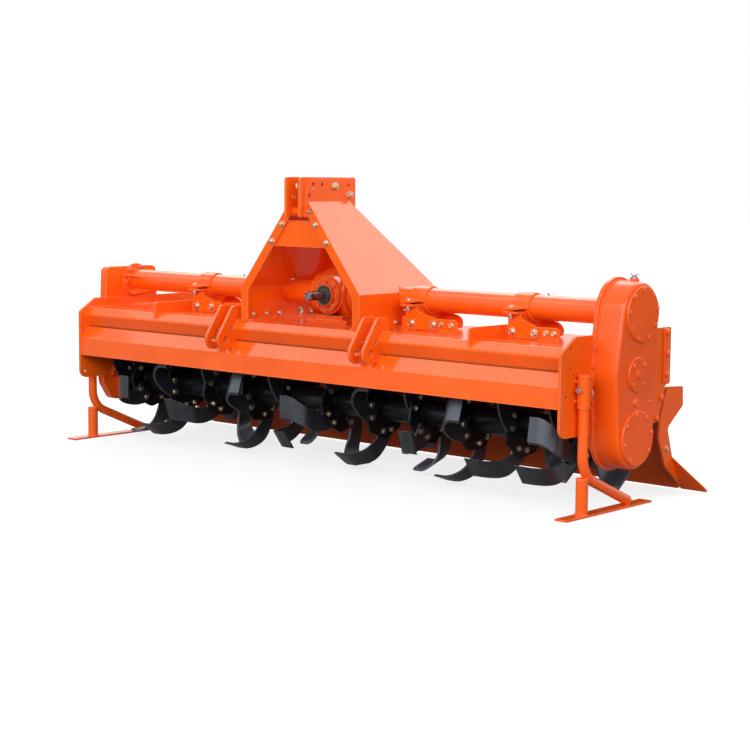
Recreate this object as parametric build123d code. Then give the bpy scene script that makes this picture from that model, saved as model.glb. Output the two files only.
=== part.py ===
from build123d import *
import os
from math import asin, atan2, cos, degrees, hypot, radians, sin, sqrt

# Rotary tiller on a three-point hitch, in millimetres. While it is built, X = 0 is midway between the
# end plates, Y = 0 is the rotor axis, Z = 0 is the floor, and the tractor is towards -Y.

# ---- driving dimensions ----
FRAME_WIDTH = 2496.0        # over the two end plates
PLATE = 10.0                # end plate thickness
ROTOR_HEIGHT = 253.0        # rotor axis above the floor
TUBE_Y = 17.0               # cross tube and input shaft axis, behind the rotor axis
TUBE_HEIGHT = 675.0
TUBE_RADIUS = 44.5
HOOD_HEIGHT = 566.0         # flat top of the hood
END_PLATE_TOP = 605.0
SHEET = 5.0                 # hood, apron and tailboard sheet
BEAM_WALL = 6.0
HITCH_SPAN = 755.0          # between the centres of the lower hitch gaps
HITCH_GAP = 53.0            # between a gap's two lugs
HITCH_LUG = 12.0
LOWER_PIN = (-300.0, 493.0)
LOWER_PIN_RADIUS = 14.4
TOP_PIN = (-218.0, 1093.0)
TOP_PIN_RADIUS = 12.85
MAST_TOP = 1124.0
MAST_GAP = 62.0             # between the cheeks
CHEEK = 10.0
DOUBLER = 8.0
ARM_SHEET = 8.0
ARM_SPREAD = 310.0          # outside of each arm's upright foot, from the middle
ARM_BEND_HEIGHT = 697.0
ARM_HEAD_HEIGHT = 1033.0
ARM_FRONT = -246.0
SHAFT_RADIUS = 17.5         # splined input shaft
SHAFT_TIP = -196.0
CASE_WIDTH = 108.0          # side gearcase, from the end plate out
STAND_Y = -198.0
STAND_OFFSET = 28.0         # from an end plate's outer face to its stand's axis
LEG_RADIUS = 18.0
FOOT = (50.0, 7.0)          # width and thickness
FOOT_ENDS = (-317.0, 196.0)
HINGE = (372.0, 404.0)      # tailboard hinge axis
BARREL_RADIUS = 14.0
HINGE_PIN_RADIUS = 8.0
ROD_X = 800.0               # pressure rods, either side of the middle
ROD_HEAD = (248.0, 664.0)   # the swivel that a rod slides through
ROD_EYE = (452.0, 306.0)    # its lower pin
ROD_RADIUS = 9.0

# ---- clearances ----
PIVOT_GAP = 0.3             # between a pin and what turns or slides on it
WELD_GAP = 0.1              # between a tube and a ring welded round it
MOVE_GAP = 6.0              # between pieces that move past each other

HALF = FRAME_WIDTH / 2
INNER = HALF - PLATE

# ---- shapes ----


def outline(points, rounds=()):
    """A flat face through the points, with (corner, radius) pairs rounded."""
    face = make_face(Polyline(*points, close=True))
    for corner, radius in rounds:
        face = fillet(face.vertices().sort_by_distance((*corner, 0))[0], radius)
    return face


def along_x(face, x0, x1):
    """A (Y, Z) face extruded from x0 to x1."""
    return extrude(Plane.YZ.offset(x0) * face, amount=x1 - x0, dir=(1, 0, 0))


def along_y(face, y0, y1):
    """An (X, Z) face extruded from y0 to y1."""
    return extrude(Plane.XZ.offset(-y0) * face, amount=y1 - y0, dir=(0, 1, 0))


def along_z(face, z0, z1):
    """An (X, Y) face extruded from z0 to z1."""
    return extrude(Plane.XY.offset(z0) * face, amount=z1 - z0, dir=(0, 0, 1))


def disc(y, z, radius):
    """A round face at (y, z)."""
    return Pos(y, z) * Circle(radius)


def bar_x(y, z, radius, x0, x1, bore=0.0):
    """A round bar or tube along X."""
    face = disc(y, z, radius)
    if bore:
        face -= disc(y, z, bore)
    return along_x(face, x0, x1)


def box(x0, x1, y0, y1, z0, z1):
    return Pos((x0 + x1) / 2, (y0 + y1) / 2, (z0 + z1) / 2) * Box(x1 - x0, y1 - y0, z1 - z0)


def bar(start, end, radius, bore=0.0):
    """A round bar or tube between two points."""
    start, end = Vector(*start), Vector(*end)
    plane = Plane(start, z_dir=end - start)
    face = Circle(radius) - Circle(bore) if bore else Circle(radius)
    return extrude(plane * face, amount=(end - start).length)


def strip(points, thickness, radius=0.0):
    """A flat strip with one side along the points and its thickness to their left.

    Its bends are rounded by the radius on the side of the points.
    """
    ways = [Vector(b[0] - a[0], b[1] - a[1]).normalized() for a, b in zip(points, points[1:])]
    left = [Vector(-way.Y, way.X) for way in ways]
    far = [Vector(*points[0]) + left[0] * thickness]
    for point, before, after in zip(points[1:-1], left, left[1:]):
        middle = before + after
        far.append(Vector(*point) + middle * (2 * thickness / middle.dot(middle)))
    far.append(Vector(*points[-1]) + left[-1] * thickness)
    rounds = []
    if radius:
        for point, corner, before, after in zip(points[1:-1], far[1:-1], ways, ways[1:]):
            bend = 1 if before.cross(after).Z > 0 else -1
            rounds += [(point, radius), ((corner.X, corner.Y), radius - bend * thickness)]
    return outline([*points, *[(corner.X, corner.Y) for corner in far[::-1]]], rounds)


def mirrored(shape):
    return mirror(shape, Plane.YZ)


# ---- hood, front beam and apron ----
BEAM_NOSE = (-263.0, 535.0)
BEAM_FOOT = (-243.0, 488.0)
BEAM_TOP_Y = -240.0
BEAM_BACK_Y = -150.0
APRON_CREASE = (-283.0, 438.0)
APRON_FOOT = (-289.0, 366.0)
HOOD_BREAK_Y = 230.0
HOOD_EDGE = (355.0, 421.0)

beam_section = [BEAM_FOOT, BEAM_NOSE, (BEAM_TOP_Y, HOOD_HEIGHT), (BEAM_BACK_Y, HOOD_HEIGHT),
                (BEAM_BACK_Y, BEAM_FOOT[1])]
beam_face = outline(beam_section, [(BEAM_NOSE, 10), ((BEAM_TOP_Y, HOOD_HEIGHT), 8)])
beam_hollow = offset(beam_face, -BEAM_WALL)
front_beam = along_x(beam_face - beam_hollow, -INNER, INNER)
front_apron = along_x(strip([BEAM_FOOT, APRON_CREASE, APRON_FOOT], SHEET), -INNER, INNER)
front_apron -= along_x(beam_face, -INNER, INNER)
hood_line = [(BEAM_BACK_Y, HOOD_HEIGHT), (HOOD_BREAK_Y, HOOD_HEIGHT), HOOD_EDGE]
rotor_hood = along_x(strip(hood_line[::-1], SHEET), -INNER, INNER)
behind_front = [BEAM_FOOT, BEAM_NOSE, (BEAM_TOP_Y, HOOD_HEIGHT), (0, HOOD_HEIGHT), (0, APRON_FOOT[1]),
                APRON_FOOT, APRON_CREASE]
front_block = along_x(outline(behind_front, [(BEAM_NOSE, 10), ((BEAM_TOP_Y, HOOD_HEIGHT), 8)]),
                      -INNER, INNER)

# ---- end plates ----
PLATE_FRONT = -294.0
PLATE_FOOT = 268.0
PLATE_REAR = 379.0
REAR_NOTCH = 402.0          # above this the plate reaches its rear edge
HUB_RADIUS = 92.0           # round notch for the rotor's bearing hubs
PLATE_HOLES = [(-234, 566, 6.5), (-238, 500, 6.5), (-262, 406, 6.5), (-268, 296, 6), (-284, 473, 4)]

plate_points = [(PLATE_FRONT, PLATE_FOOT), (PLATE_FRONT, 551), (-210, END_PLATE_TOP),
                (PLATE_REAR, END_PLATE_TOP), (PLATE_REAR, REAR_NOTCH), (350, REAR_NOTCH - 4),
                (304, PLATE_FOOT)]
plate_rounds = [(plate_points[0], 35), (plate_points[1], 12), (plate_points[2], 12),
                (plate_points[3], 10), (plate_points[6], 20)]
plate_face = outline(plate_points, plate_rounds) - disc(0, ROTOR_HEIGHT, HUB_RADIUS + PIVOT_GAP)
for y, z, radius in PLATE_HOLES:
    plate_face -= disc(y, z, radius)
end_plate_right = along_x(plate_face, INNER, HALF)
end_plate_left = mirrored(end_plate_right)

# ---- side arm on the left, with the tube's flange ----
ARM_RIM = 38.0
side_arm_face = outline([(-138, 733), (-160, 240), (-110, 160), (110, 160), (160, 240), (138, 733)],
                        [((-138, 733), 25), ((138, 733), 25), ((-160, 240), 60), ((160, 240), 60),
                         ((-110, 160), 40), ((110, 160), 40)])
side_arm = along_x(side_arm_face, HALF, HALF + ARM_RIM)
side_arm -= along_x(offset(side_arm_face, -9), HALF + 10, HALF + ARM_RIM)
side_arm_left = mirrored(side_arm)

# ---- side gearcase on the right ----
CASE_CIRCLES = [(TUBE_Y, TUBE_HEIGHT, 113.0), (-3.0, 472.0, 127.0), (0.0, ROTOR_HEIGHT, 111.0)]
CASE_DRAFT = 2.5
CASE_EDGE = 11.0
CASE_OUT = HALF + CASE_WIDTH
CAP_PLATE = 8.0


def hull_of(first, second):
    """The face inside the two outer tangents of two (y, z, radius) circles."""
    (y1, z1, r1), (y2, z2, r2) = first, second
    along = atan2(z2 - z1, y2 - y1)
    spread = asin((r1 - r2) / hypot(y2 - y1, z2 - z1))
    corners = []
    for sign in (1, -1):
        angle = along + sign * (radians(90) - spread)
        ends = [(y1 + r1 * cos(angle), z1 + r1 * sin(angle)), (y2 + r2 * cos(angle), z2 + r2 * sin(angle))]
        corners += ends if sign == 1 else ends[::-1]
    return make_face(Polyline(*corners, close=True)) + disc(y1, z1, r1) + disc(y2, z2, r2)


case_face = hull_of(*CASE_CIRCLES[:2]) + hull_of(*CASE_CIRCLES[1:])
case_body = extrude(Plane.YZ.offset(HALF) * case_face, amount=CASE_WIDTH, taper=CASE_DRAFT)
case_body = fillet(case_body.faces().sort_by(Axis.X)[-1].edges(), CASE_EDGE)
case_flange = along_x(offset(case_face, 9), HALF, HALF + 14)
gearcase_housing = case_body + case_flange


def cap(y, z, radius, boss=0.0):
    """A round cover on the gearcase, with a raised middle where it has one."""
    plate = bar_x(y, z, radius, CASE_OUT, CASE_OUT + CAP_PLATE)
    plate = fillet(plate.faces().sort_by(Axis.X)[-1].edges(), 2)
    if boss:
        plate += bar_x(y, z, boss, CASE_OUT, CASE_OUT + CAP_PLATE + 9)
    return plate


gearcase_upper_cap = cap(TUBE_Y, TUBE_HEIGHT, 95)
gearcase_idler_cap = cap(-5, 472, 59, 15)
gearcase_lower_cap = cap(0, ROTOR_HEIGHT, 94)
BREATHER_Y = 44.0
breather_foot = TUBE_HEIGHT + sqrt(CASE_CIRCLES[0][2] ** 2 - (BREATHER_Y - TUBE_Y) ** 2) - 5
BREATHER_X = HALF + 56
gearcase_housing += bar((BREATHER_X, BREATHER_Y, breather_foot), (BREATHER_X, BREATHER_Y, breather_foot + 12),
                        17)
gearcase_breather = bar((BREATHER_X, BREATHER_Y, breather_foot + 12),
                        (BREATHER_X, BREATHER_Y, breather_foot + 22), 11)
gearcase_breather += bar((BREATHER_X, BREATHER_Y, breather_foot + 22),
                         (BREATHER_X, BREATHER_Y, breather_foot + 31), 15)

# ---- cross tubes and gearbox ----
BOX_RADIUS = 97.0
BOX_SIDE = 105.0            # the tubes' flanges seat here, either side of the middle
FLANGE_RADIUS = 78.0
OUTER_FLANGES = (70.0, 86.0)       # radius at the left and the right end
FLANGE = 12.0
TUBE_BORE = TUBE_RADIUS - 7

tube = bar_x(TUBE_Y, TUBE_HEIGHT, TUBE_RADIUS, BOX_SIDE, HALF, TUBE_BORE)
inner_flange = bar_x(TUBE_Y, TUBE_HEIGHT, FLANGE_RADIUS, BOX_SIDE, BOX_SIDE + FLANGE, TUBE_BORE)
flange_clear = box(HALF - FLANGE, HALF, -400, 400, 0, END_PLATE_TOP)
gusset = outline([(HALF - FLANGE, TUBE_RADIUS - 1), (HALF - FLANGE - 110, TUBE_RADIUS - 1),
                  (HALF - FLANGE - 110, TUBE_RADIUS + 5), (HALF - FLANGE, OUTER_FLANGES[0])])
tube_gussets = [Pos(0, TUBE_Y, TUBE_HEIGHT) * Rot(X=angle) * along_y(gusset, -4, 4)
                for angle in (70, 160, 200, 290)]
left_flange, right_flange = [
    bar_x(TUBE_Y, TUBE_HEIGHT, radius, HALF - FLANGE, HALF, TUBE_BORE) - flange_clear
    for radius in OUTER_FLANGES]
cross_tube_right = tube + inner_flange + right_flange
cross_tube_left = mirrored(tube + inner_flange + left_flange + tube_gussets)

box_body = bar_x(TUBE_Y, TUBE_HEIGHT, BOX_RADIUS, -78, 78)
box_body = fillet(box_body.edges().filter_by(GeomType.CIRCLE), 14)
box_body += bar_x(TUBE_Y, TUBE_HEIGHT, FLANGE_RADIUS, -BOX_SIDE, BOX_SIDE)
NOSE_FACE = -82.0
box_body += bar((0, TUBE_Y, TUBE_HEIGHT), (0, NOSE_FACE, TUBE_HEIGHT), 74)
box_body += bar((0, TUBE_Y, TUBE_HEIGHT), (0, TUBE_Y + 122, TUBE_HEIGHT), 70)
box_foot = box(-70, 70, TUBE_Y - 95, TUBE_Y + 95, HOOD_HEIGHT, TUBE_HEIGHT - 80)
box_foot += box(-105, 105, TUBE_Y - 110, TUBE_Y + 110, HOOD_HEIGHT, HOOD_HEIGHT + 14)
box_body += box_foot
for turn in (-50, 0, 50):
    rib = box(-6, 6, -BOX_RADIUS - 8, 0, -5, 5)
    box_body += Pos(0, TUBE_Y, TUBE_HEIGHT) * Rot(X=-90 + turn) * rib
gearbox_housing = box_body - box(-400, 400, -400, 400, HOOD_HEIGHT - 200, HOOD_HEIGHT)
NOSE_CAP = 10.0
gearbox_input_cap = bar((0, NOSE_FACE, TUBE_HEIGHT), (0, NOSE_FACE - NOSE_CAP, TUBE_HEIGHT), 66)
gearbox_input_cap += bar((0, NOSE_FACE, TUBE_HEIGHT), (0, NOSE_FACE - NOSE_CAP - 14, TUBE_HEIGHT), 44)
shaft_way = bar((0, NOSE_FACE - 60, TUBE_HEIGHT), (0, NOSE_FACE + 30, TUBE_HEIGHT), SHAFT_RADIUS + PIVOT_GAP)
gearbox_input_cap -= shaft_way
gearbox_housing -= shaft_way
gearbox_rear_cover = bar((0, TUBE_Y + 122, TUBE_HEIGHT), (0, TUBE_Y + 131, TUBE_HEIGHT), 64)

SHAFT_NECK = NOSE_FACE + 28
SPLINE_LENGTH = 78.0
input_shaft = bar((0, SHAFT_TIP, TUBE_HEIGHT), (0, SHAFT_NECK, TUBE_HEIGHT), SHAFT_RADIUS)
for k in range(6):
    slot = box(-SHAFT_RADIUS * 0.27, SHAFT_RADIUS * 0.27, SHAFT_TIP - 1, SHAFT_TIP + SPLINE_LENGTH,
               SHAFT_RADIUS - 3.2, SHAFT_RADIUS + 2)
    input_shaft -= Pos(0, 0, TUBE_HEIGHT) * Rot(Y=60 * k + 30) * slot

# ---- mast ----
HEAD_X = MAST_GAP / 2 + CHEEK + DOUBLER
arm_slope = (ARM_SPREAD - HEAD_X) / (ARM_HEAD_HEIGHT - ARM_BEND_HEIGHT)
arm_path = [(ARM_SPREAD, HOOD_HEIGHT), (ARM_SPREAD, ARM_BEND_HEIGHT),
            (HEAD_X - 40, ARM_HEAD_HEIGHT + 40 / arm_slope)]


def arm_band(width):
    """The (X, Z) band that lies inside the arm's bent outer line."""
    return strip(arm_path, width) - Pos(HEAD_X / 2 - 200, 1000) * Rectangle(HEAD_X + 400, 900)


FRONT_LIP = 36.0
REAR_LIP = 60.0
arm_side = [(ARM_FRONT, HOOD_HEIGHT), (ARM_FRONT, ARM_HEAD_HEIGHT + 20), (-32, ARM_HEAD_HEIGHT + 20),
            (190, 730), (222, HOOD_HEIGHT)]
front_strip = [arm_side[0], arm_side[1], (ARM_FRONT + ARM_SHEET, arm_side[1][1]),
               (ARM_FRONT + ARM_SHEET, HOOD_HEIGHT)]
rear_strip = [arm_side[4], arm_side[3], arm_side[2], (arm_side[2][0] - 10, arm_side[2][1]),
              (arm_side[3][0] - 10, arm_side[3][1] - 4), (arm_side[4][0] - 8, HOOD_HEIGHT)]
mast_arm = along_y(arm_band(ARM_SHEET), -300, 300) & along_x(outline(arm_side), 0, 400)
mast_arm += along_y(arm_band(FRONT_LIP), -300, 300) & along_x(outline(front_strip), 0, 400)
mast_arm += along_y(arm_band(REAR_LIP), -300, 300) & along_x(outline(rear_strip), 0, 400)
mast_arm -= bar_x(TUBE_Y, TUBE_HEIGHT, TUBE_RADIUS + 2, 0, 400)
foot_flange = box(ARM_SPREAD - ARM_SHEET - 46, ARM_SPREAD - ARM_SHEET, ARM_FRONT + ARM_SHEET, 208,
                  HOOD_HEIGHT, HOOD_HEIGHT + 8)
mast_arm += foot_flange
mast_arm_right = mast_arm
mast_arm_left = mirrored(mast_arm)


def arm_inside(z):
    """How far from the middle the arm's inner face is at a height."""
    reach = ARM_SHEET * hypot(arm_slope, 1)
    return min(HEAD_X + (ARM_HEAD_HEIGHT - z) * arm_slope - reach, ARM_SPREAD - ARM_SHEET)


PLATE_TOP, PLATE_LOW = 961.0, 862.0
front_y = ARM_FRONT + ARM_SHEET
mast_front_plate = along_y(outline([(-arm_inside(PLATE_LOW), PLATE_LOW), (-arm_inside(PLATE_TOP), PLATE_TOP),
                                    (arm_inside(PLATE_TOP), PLATE_TOP), (arm_inside(PLATE_LOW), PLATE_LOW)]),
                           front_y, front_y + 8)

CHEEK_FOOT = 976.0
MAST_HOLES = [(-239, 1054, 10), (-23, 1091, 9), (-170, 1094, 9)]
MAST_BOLTS = [(-103, 1091, 8), (-19, 1057, 8), (-236, 995, 10)]
cheek_face = outline([(-282, CHEEK_FOOT), (-282, MAST_TOP), (23, MAST_TOP), (23, CHEEK_FOOT + 25)],
                     [((-282, MAST_TOP), 10), ((23, MAST_TOP), 8)])
doubler_face = outline([(-258, CHEEK_FOOT), (-258, MAST_TOP - 6), (15, MAST_TOP - 6), (15, CHEEK_FOOT + 25)],
                       [((-258, MAST_TOP - 6), 55)])
for y, z, radius in [(*TOP_PIN, TOP_PIN_RADIUS), *MAST_HOLES]:
    cheek_face -= disc(y, z, radius)
    doubler_face -= disc(y, z, radius)
for y, z, radius in MAST_BOLTS:
    cheek_face -= disc(y, z, radius)
    doubler_face -= disc(y, z, radius)
mast_cheek_right = along_x(cheek_face, MAST_GAP / 2, MAST_GAP / 2 + CHEEK)
mast_cheek_left = mirrored(mast_cheek_right)
doubler = along_x(doubler_face, MAST_GAP / 2 + CHEEK, HEAD_X)
mast_doublers = [doubler, mirrored(doubler)]
for y, z, radius in MAST_BOLTS:
    head_room = bar_x(y, z, radius + 5, HEAD_X, HEAD_X + 16)
    mast_arm_right -= head_room
    mast_arm_left -= mirrored(head_room)
mast_spacers = [bar_x(y, z, radius + 7, -MAST_GAP / 2, MAST_GAP / 2, radius) for y, z, radius in MAST_BOLTS]
mast_bolts = [bar_x(y, z, radius, -HEAD_X - 10, HEAD_X + 10) for y, z, radius in MAST_BOLTS]

# ---- lower hitch ----
PIN_EYE = 41.0
LINK_HOLE = (-274.0, 533.0, 8.0)
hitch_points = [(-340, 505), (-262, 622), (-205, 622), (-200, HOOD_HEIGHT), (-255, 452)]
hitch_face = outline(hitch_points, [((-262, 622), 16), ((-205, 622), 16)]) + disc(*LOWER_PIN, PIN_EYE)
hitch_face -= disc(*LOWER_PIN, LOWER_PIN_RADIUS)
hitch_face -= disc(*LINK_HOLE)
lower_hitch_right = []
for inside in (HITCH_SPAN / 2 - HITCH_GAP / 2 - HITCH_LUG, HITCH_SPAN / 2 + HITCH_GAP / 2):
    lug = along_x(hitch_face, inside, inside + HITCH_LUG) - front_block
    lower_hitch_right.append(lug.solids().sort_by(SortBy.VOLUME)[-1])
lower_hitch_left = [mirrored(lug) for lug in lower_hitch_right]

# ---- tube clamps: saddle, cap and pad ----
# middle, whether its pad has a long gusset, and how far its shoe and its pad reach past the cap
CLAMPS = ((-755.0, True, 62.0, 95.0), (405.0, False, 80.0, 172.0), (HALF - 368, True, 62.0, 150.0))
CAP_WIDTH = 74.0
CAP_SHEET = 6.0
EAR_OUT = 56.0              # how far the pinch ears stand out from the tube
EAR_WIDTH = 60.0
SADDLE_SHEET = 8.0
SADDLE_FRONT = TUBE_Y - TUBE_RADIUS - 34
SADDLE_REAR = 2 * TUBE_Y - SADDLE_FRONT
SEAT = TUBE_RADIUS + WELD_GAP
PINCH_GAP = 8.0
EAR_Z = TUBE_HEIGHT - 6
EAR_LOW = EAR_Z - PINCH_GAP - SADDLE_SHEET
PAD_TOP = HOOD_HEIGHT + 46
GUSSET_TIP_Y = -259.0
PAD_BACK = SADDLE_FRONT + 2 * SADDLE_SHEET


def clamp_pieces(x, gusset_plate, shoe_reach, pad_reach):
    """The saddle, cap and pad of one clamp whose cap is centred at x."""
    left, right = x - CAP_WIDTH / 2, x + CAP_WIDTH / 2
    ear_end = left + EAR_WIDTH
    reach = SEAT + EAR_OUT
    ring = bar_x(TUBE_Y, TUBE_HEIGHT, SEAT + CAP_SHEET, left, right, SEAT)
    seat = bar_x(TUBE_Y, TUBE_HEIGHT, SEAT, left, right)
    clamp_cap = ring & box(left, right, -200, 300, EAR_Z, TUBE_HEIGHT + 200)
    clamp_cap += box(left, ear_end, TUBE_Y - reach, TUBE_Y + reach, EAR_Z, EAR_Z + CAP_SHEET) - seat
    pad_end = left - 2 * SADDLE_SHEET
    pad_face = outline([(pad_end, HOOD_HEIGHT), (pad_end, PAD_TOP), (right + pad_reach, PAD_TOP),
                        (right + pad_reach, HOOD_HEIGHT)], [((right + pad_reach, PAD_TOP), 14)])
    pad = along_y(pad_face, SADDLE_FRONT + SADDLE_SHEET, PAD_BACK)
    if gusset_plate:
        side = outline([(SADDLE_FRONT + SADDLE_SHEET, HOOD_HEIGHT), (SADDLE_FRONT + SADDLE_SHEET, PAD_TOP),
                        (GUSSET_TIP_Y, PAD_TOP), (GUSSET_TIP_Y, BEAM_NOSE[1])],
                       [((GUSSET_TIP_Y, PAD_TOP), 14)])
        pad += along_x(side, pad_end, pad_end + SADDLE_SHEET) - front_block
    shoe = right + shoe_reach
    edge = left + SADDLE_SHEET
    front = outline([(edge, HOOD_HEIGHT + 4), (edge, EAR_LOW + 1), (ear_end, EAR_LOW + 1), (ear_end, 636),
                     (shoe, PAD_TOP), (shoe, HOOD_HEIGHT + 4)],
                    [((ear_end, 636), 22), ((shoe, PAD_TOP), 20), ((shoe, HOOD_HEIGHT + 4), 8),
                     ((edge, HOOD_HEIGHT + 4), 8)])
    saddle = along_y(front, SADDLE_FRONT, SADDLE_FRONT + SADDLE_SHEET)
    saddle += along_y(front, SADDLE_REAR - SADDLE_SHEET, SADDLE_REAR)
    for web in (left + 12, ear_end - 12):
        saddle += box(web, web + SADDLE_SHEET, SADDLE_FRONT, SADDLE_REAR, HOOD_HEIGHT, EAR_LOW + 2)
    saddle += box(left, ear_end, TUBE_Y - reach, TUBE_Y + reach, EAR_LOW, EAR_Z - PINCH_GAP)
    saddle += ring & box(left, right, -200, 300, 500, EAR_Z - PINCH_GAP)
    return saddle - seat - pad, clamp_cap, pad


clamp_sets = [clamp_pieces(*clamp) for clamp in CLAMPS]
clamp_sets.append([mirrored(piece) for piece in clamp_sets[1]])
clamp_saddles, clamp_caps, clamp_pads = zip(*clamp_sets)

# ---- parking stands, their sockets and lock pins ----
SOCKET = (368.0, 478.0)     # its lower and upper end
SOCKET_WALL = 4.0
SOCKET_BORE = LEG_RADIUS + 1
LOCK_PIN_Z = 430.0
LOCK_PIN_RADIUS = 6.0
LEG_TOP = SOCKET[1] - 10
BEND_TOP = 205.0
BEND_RADIUS = 100.0
STRUT_SLOPE = 23.5
STRUT_FOOT_Y = 78.0
POST_RADIUS = 21.0
POST_TOP = 128.0
STAND_X = HALF + STAND_OFFSET

socket = Pos(STAND_X, STAND_Y) * (Circle(SOCKET_BORE + SOCKET_WALL) - Circle(SOCKET_BORE))
socket_right = along_z(socket, *SOCKET)
for z in (SOCKET[0] + 18, SOCKET[1] - 26):
    web = box(HALF, STAND_X - SOCKET_BORE - 1, STAND_Y - 16, STAND_Y + 16, z, z + 8)
    socket_right += web
pin_hole = bar((STAND_X, STAND_Y - 60, LOCK_PIN_Z), (STAND_X, STAND_Y + 60, LOCK_PIN_Z), LOCK_PIN_RADIUS)
socket_right -= pin_hole
pin_inner = LEG_RADIUS + PIVOT_GAP + 0.3
lock_pins_right = []
for side, length in ((-1, 10.0), (1, 16.0)):
    near = (STAND_X, STAND_Y + side * pin_inner, LOCK_PIN_Z)
    far = (STAND_X, STAND_Y + side * (pin_inner + length), LOCK_PIN_Z)
    stub = bar(near, far, LOCK_PIN_RADIUS)
    if side < 0:
        head = (STAND_X, far[1] - 6, LOCK_PIN_Z)
        stub += bar(far, head, LOCK_PIN_RADIUS + 4)
    lock_pins_right.append(stub)

corner_drop = BEND_RADIUS * (1 - sin(radians(STRUT_SLOPE))) / cos(radians(STRUT_SLOPE))
corner = (STAND_X, STAND_Y, BEND_TOP - corner_drop)
strut_foot = (STAND_X, STRUT_FOOT_Y, corner[2] - (STRUT_FOOT_Y - STAND_Y) * sin(radians(STRUT_SLOPE))
              / cos(radians(STRUT_SLOPE)))
leg_path = FilletPolyline((STAND_X, STAND_Y, LEG_TOP), corner, strut_foot, radius=BEND_RADIUS)
leg = sweep(Plane(leg_path @ 0, z_dir=leg_path % 0) * Circle(LEG_RADIUS), path=leg_path)
leg -= box(STAND_X - 60, STAND_X + 60, -400, 400, -100, FOOT[1] / 2)
foot = box(STAND_X - FOOT[0] / 2, STAND_X + FOOT[0] / 2, *FOOT_ENDS, 0, FOOT[1])
post = bar((STAND_X, STAND_Y, FOOT[1] / 2), (STAND_X, STAND_Y, POST_TOP), POST_RADIUS)
stand_right = leg + foot + post
stand_left = mirrored(stand_right)

# ---- tailboard and its hinge ----
BOARD_TOP = HINGE[1] - BARREL_RADIUS - MOVE_GAP
BOARD_LOW = (474.0, 6.0)
BOARD_LINE = [(374.0, BOARD_TOP), (356.0, 262.0), (401.0, 132.0), BOARD_LOW]
BOARD_ROUND = 160.0
WING_OUT = HALF + 108       # the board's lower corners reach this far out past the cheeks
HINGE_PITCH = 500.0
KNUCKLE = 60.0              # half the length of a tailboard knuckle
HOOD_KNUCKLE = 40.0
pin_reach = KNUCKLE + HOOD_KNUCKLE + 8
stations = int((INNER - pin_reach) // HINGE_PITCH)      # either side of the middle
HINGE_STATIONS = [HINGE_PITCH * k for k in range(-stations, stations + 1)]

board_face = strip(BOARD_LINE, SHEET, BOARD_ROUND)
board = along_x(board_face, -INNER, INNER)
for x in HINGE_STATIONS:
    board += bar_x(*HINGE, BARREL_RADIUS, x - KNUCKLE, x + KNUCKLE)
    board += box(x - KNUCKLE, x + KNUCKLE, 374, 379, BOARD_TOP - 2, HINGE[1])
pin_way = bar_x(*HINGE, HINGE_PIN_RADIUS + PIVOT_GAP, -INNER, INNER)
board -= pin_way
wing_face = Polygon((HALF, 133), (WING_OUT, BOARD_LOW[1] + 12), (WING_OUT, -40), (HALF, -40), align=None)
wing = along_x(board_face, HALF, WING_OUT) & along_y(wing_face, 300, 600)
tailboard_panel = [board, wing, mirrored(wing)]
cheek_points = [(366, 390), (469, 384), (473, 314), (372, 240), (384, 205), (410, 128),
                (BOARD_LOW[0] + 8, BOARD_LOW[1] + 2), (366, 99), (318, 203), (322, 268)]
tail_cheek = along_x(outline(cheek_points, [(cheek_points[2], 12), (cheek_points[1], 6),
                                            (cheek_points[3], 20)]), INNER, HALF)
tailboard_cheeks = [tail_cheek, mirrored(tail_cheek)]

# pressure rods: the swivel's line to the eye sets the rod's slope
rod_length = hypot(ROD_EYE[0] - ROD_HEAD[0], ROD_EYE[1] - ROD_HEAD[1])
rod_way = ((ROD_EYE[0] - ROD_HEAD[0]) / rod_length, (ROD_EYE[1] - ROD_HEAD[1]) / rod_length)


def on_rod(along):
    """The (y, z) point on the rod's axis at a distance from its swivel towards the eye."""
    return (ROD_HEAD[0] + rod_way[0] * along, ROD_HEAD[1] + rod_way[1] * along)


EYE_PIN_RADIUS = 8.0
EYE_SLOT = 34.0             # end to end of the lug's slot, along the rod
EYE_FORK = 10.0             # each fork leg
LUG = 12.0
SWIVEL_HALF = 16.0
SPRING_TOP, SPRING_LENGTH = 62.0, 96.0
SPRING_RADIUS = 19.0
ROD_TOP = -42.0
rod_lean = degrees(atan2(rod_way[0], -rod_way[1]))

ear_slot = Pos(*ROD_EYE) * Rot(Z=rod_lean - 90) * SlotOverall(EYE_SLOT, 2 * EYE_PIN_RADIUS + 1.5)
LUG_RADIUS = 26.0
ear = outline([(366, 322), (ROD_EYE[0], ROD_EYE[1] + 18), (ROD_EYE[0] + 12, ROD_EYE[1] - 20), (366, 235)])
ear = ear + disc(*ROD_EYE, LUG_RADIUS) - ear_slot
tail_lugs = [along_x(ear, x - LUG / 2, x + LUG / 2) - along_x(board_face, -INNER, INNER)
             - box(x - 20, x + 20, 0, 362, 0, 900) for x in (-ROD_X, ROD_X)]
front_of_board = along_x(make_face(Polyline(*BOARD_LINE, (200, BOARD_LOW[1]), (200, BOARD_TOP), close=True)),
                         -INNER, INNER)
tail_lugs = [(lug - front_of_board).solids().sort_by(SortBy.VOLUME)[-1] for lug in tail_lugs]

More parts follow.
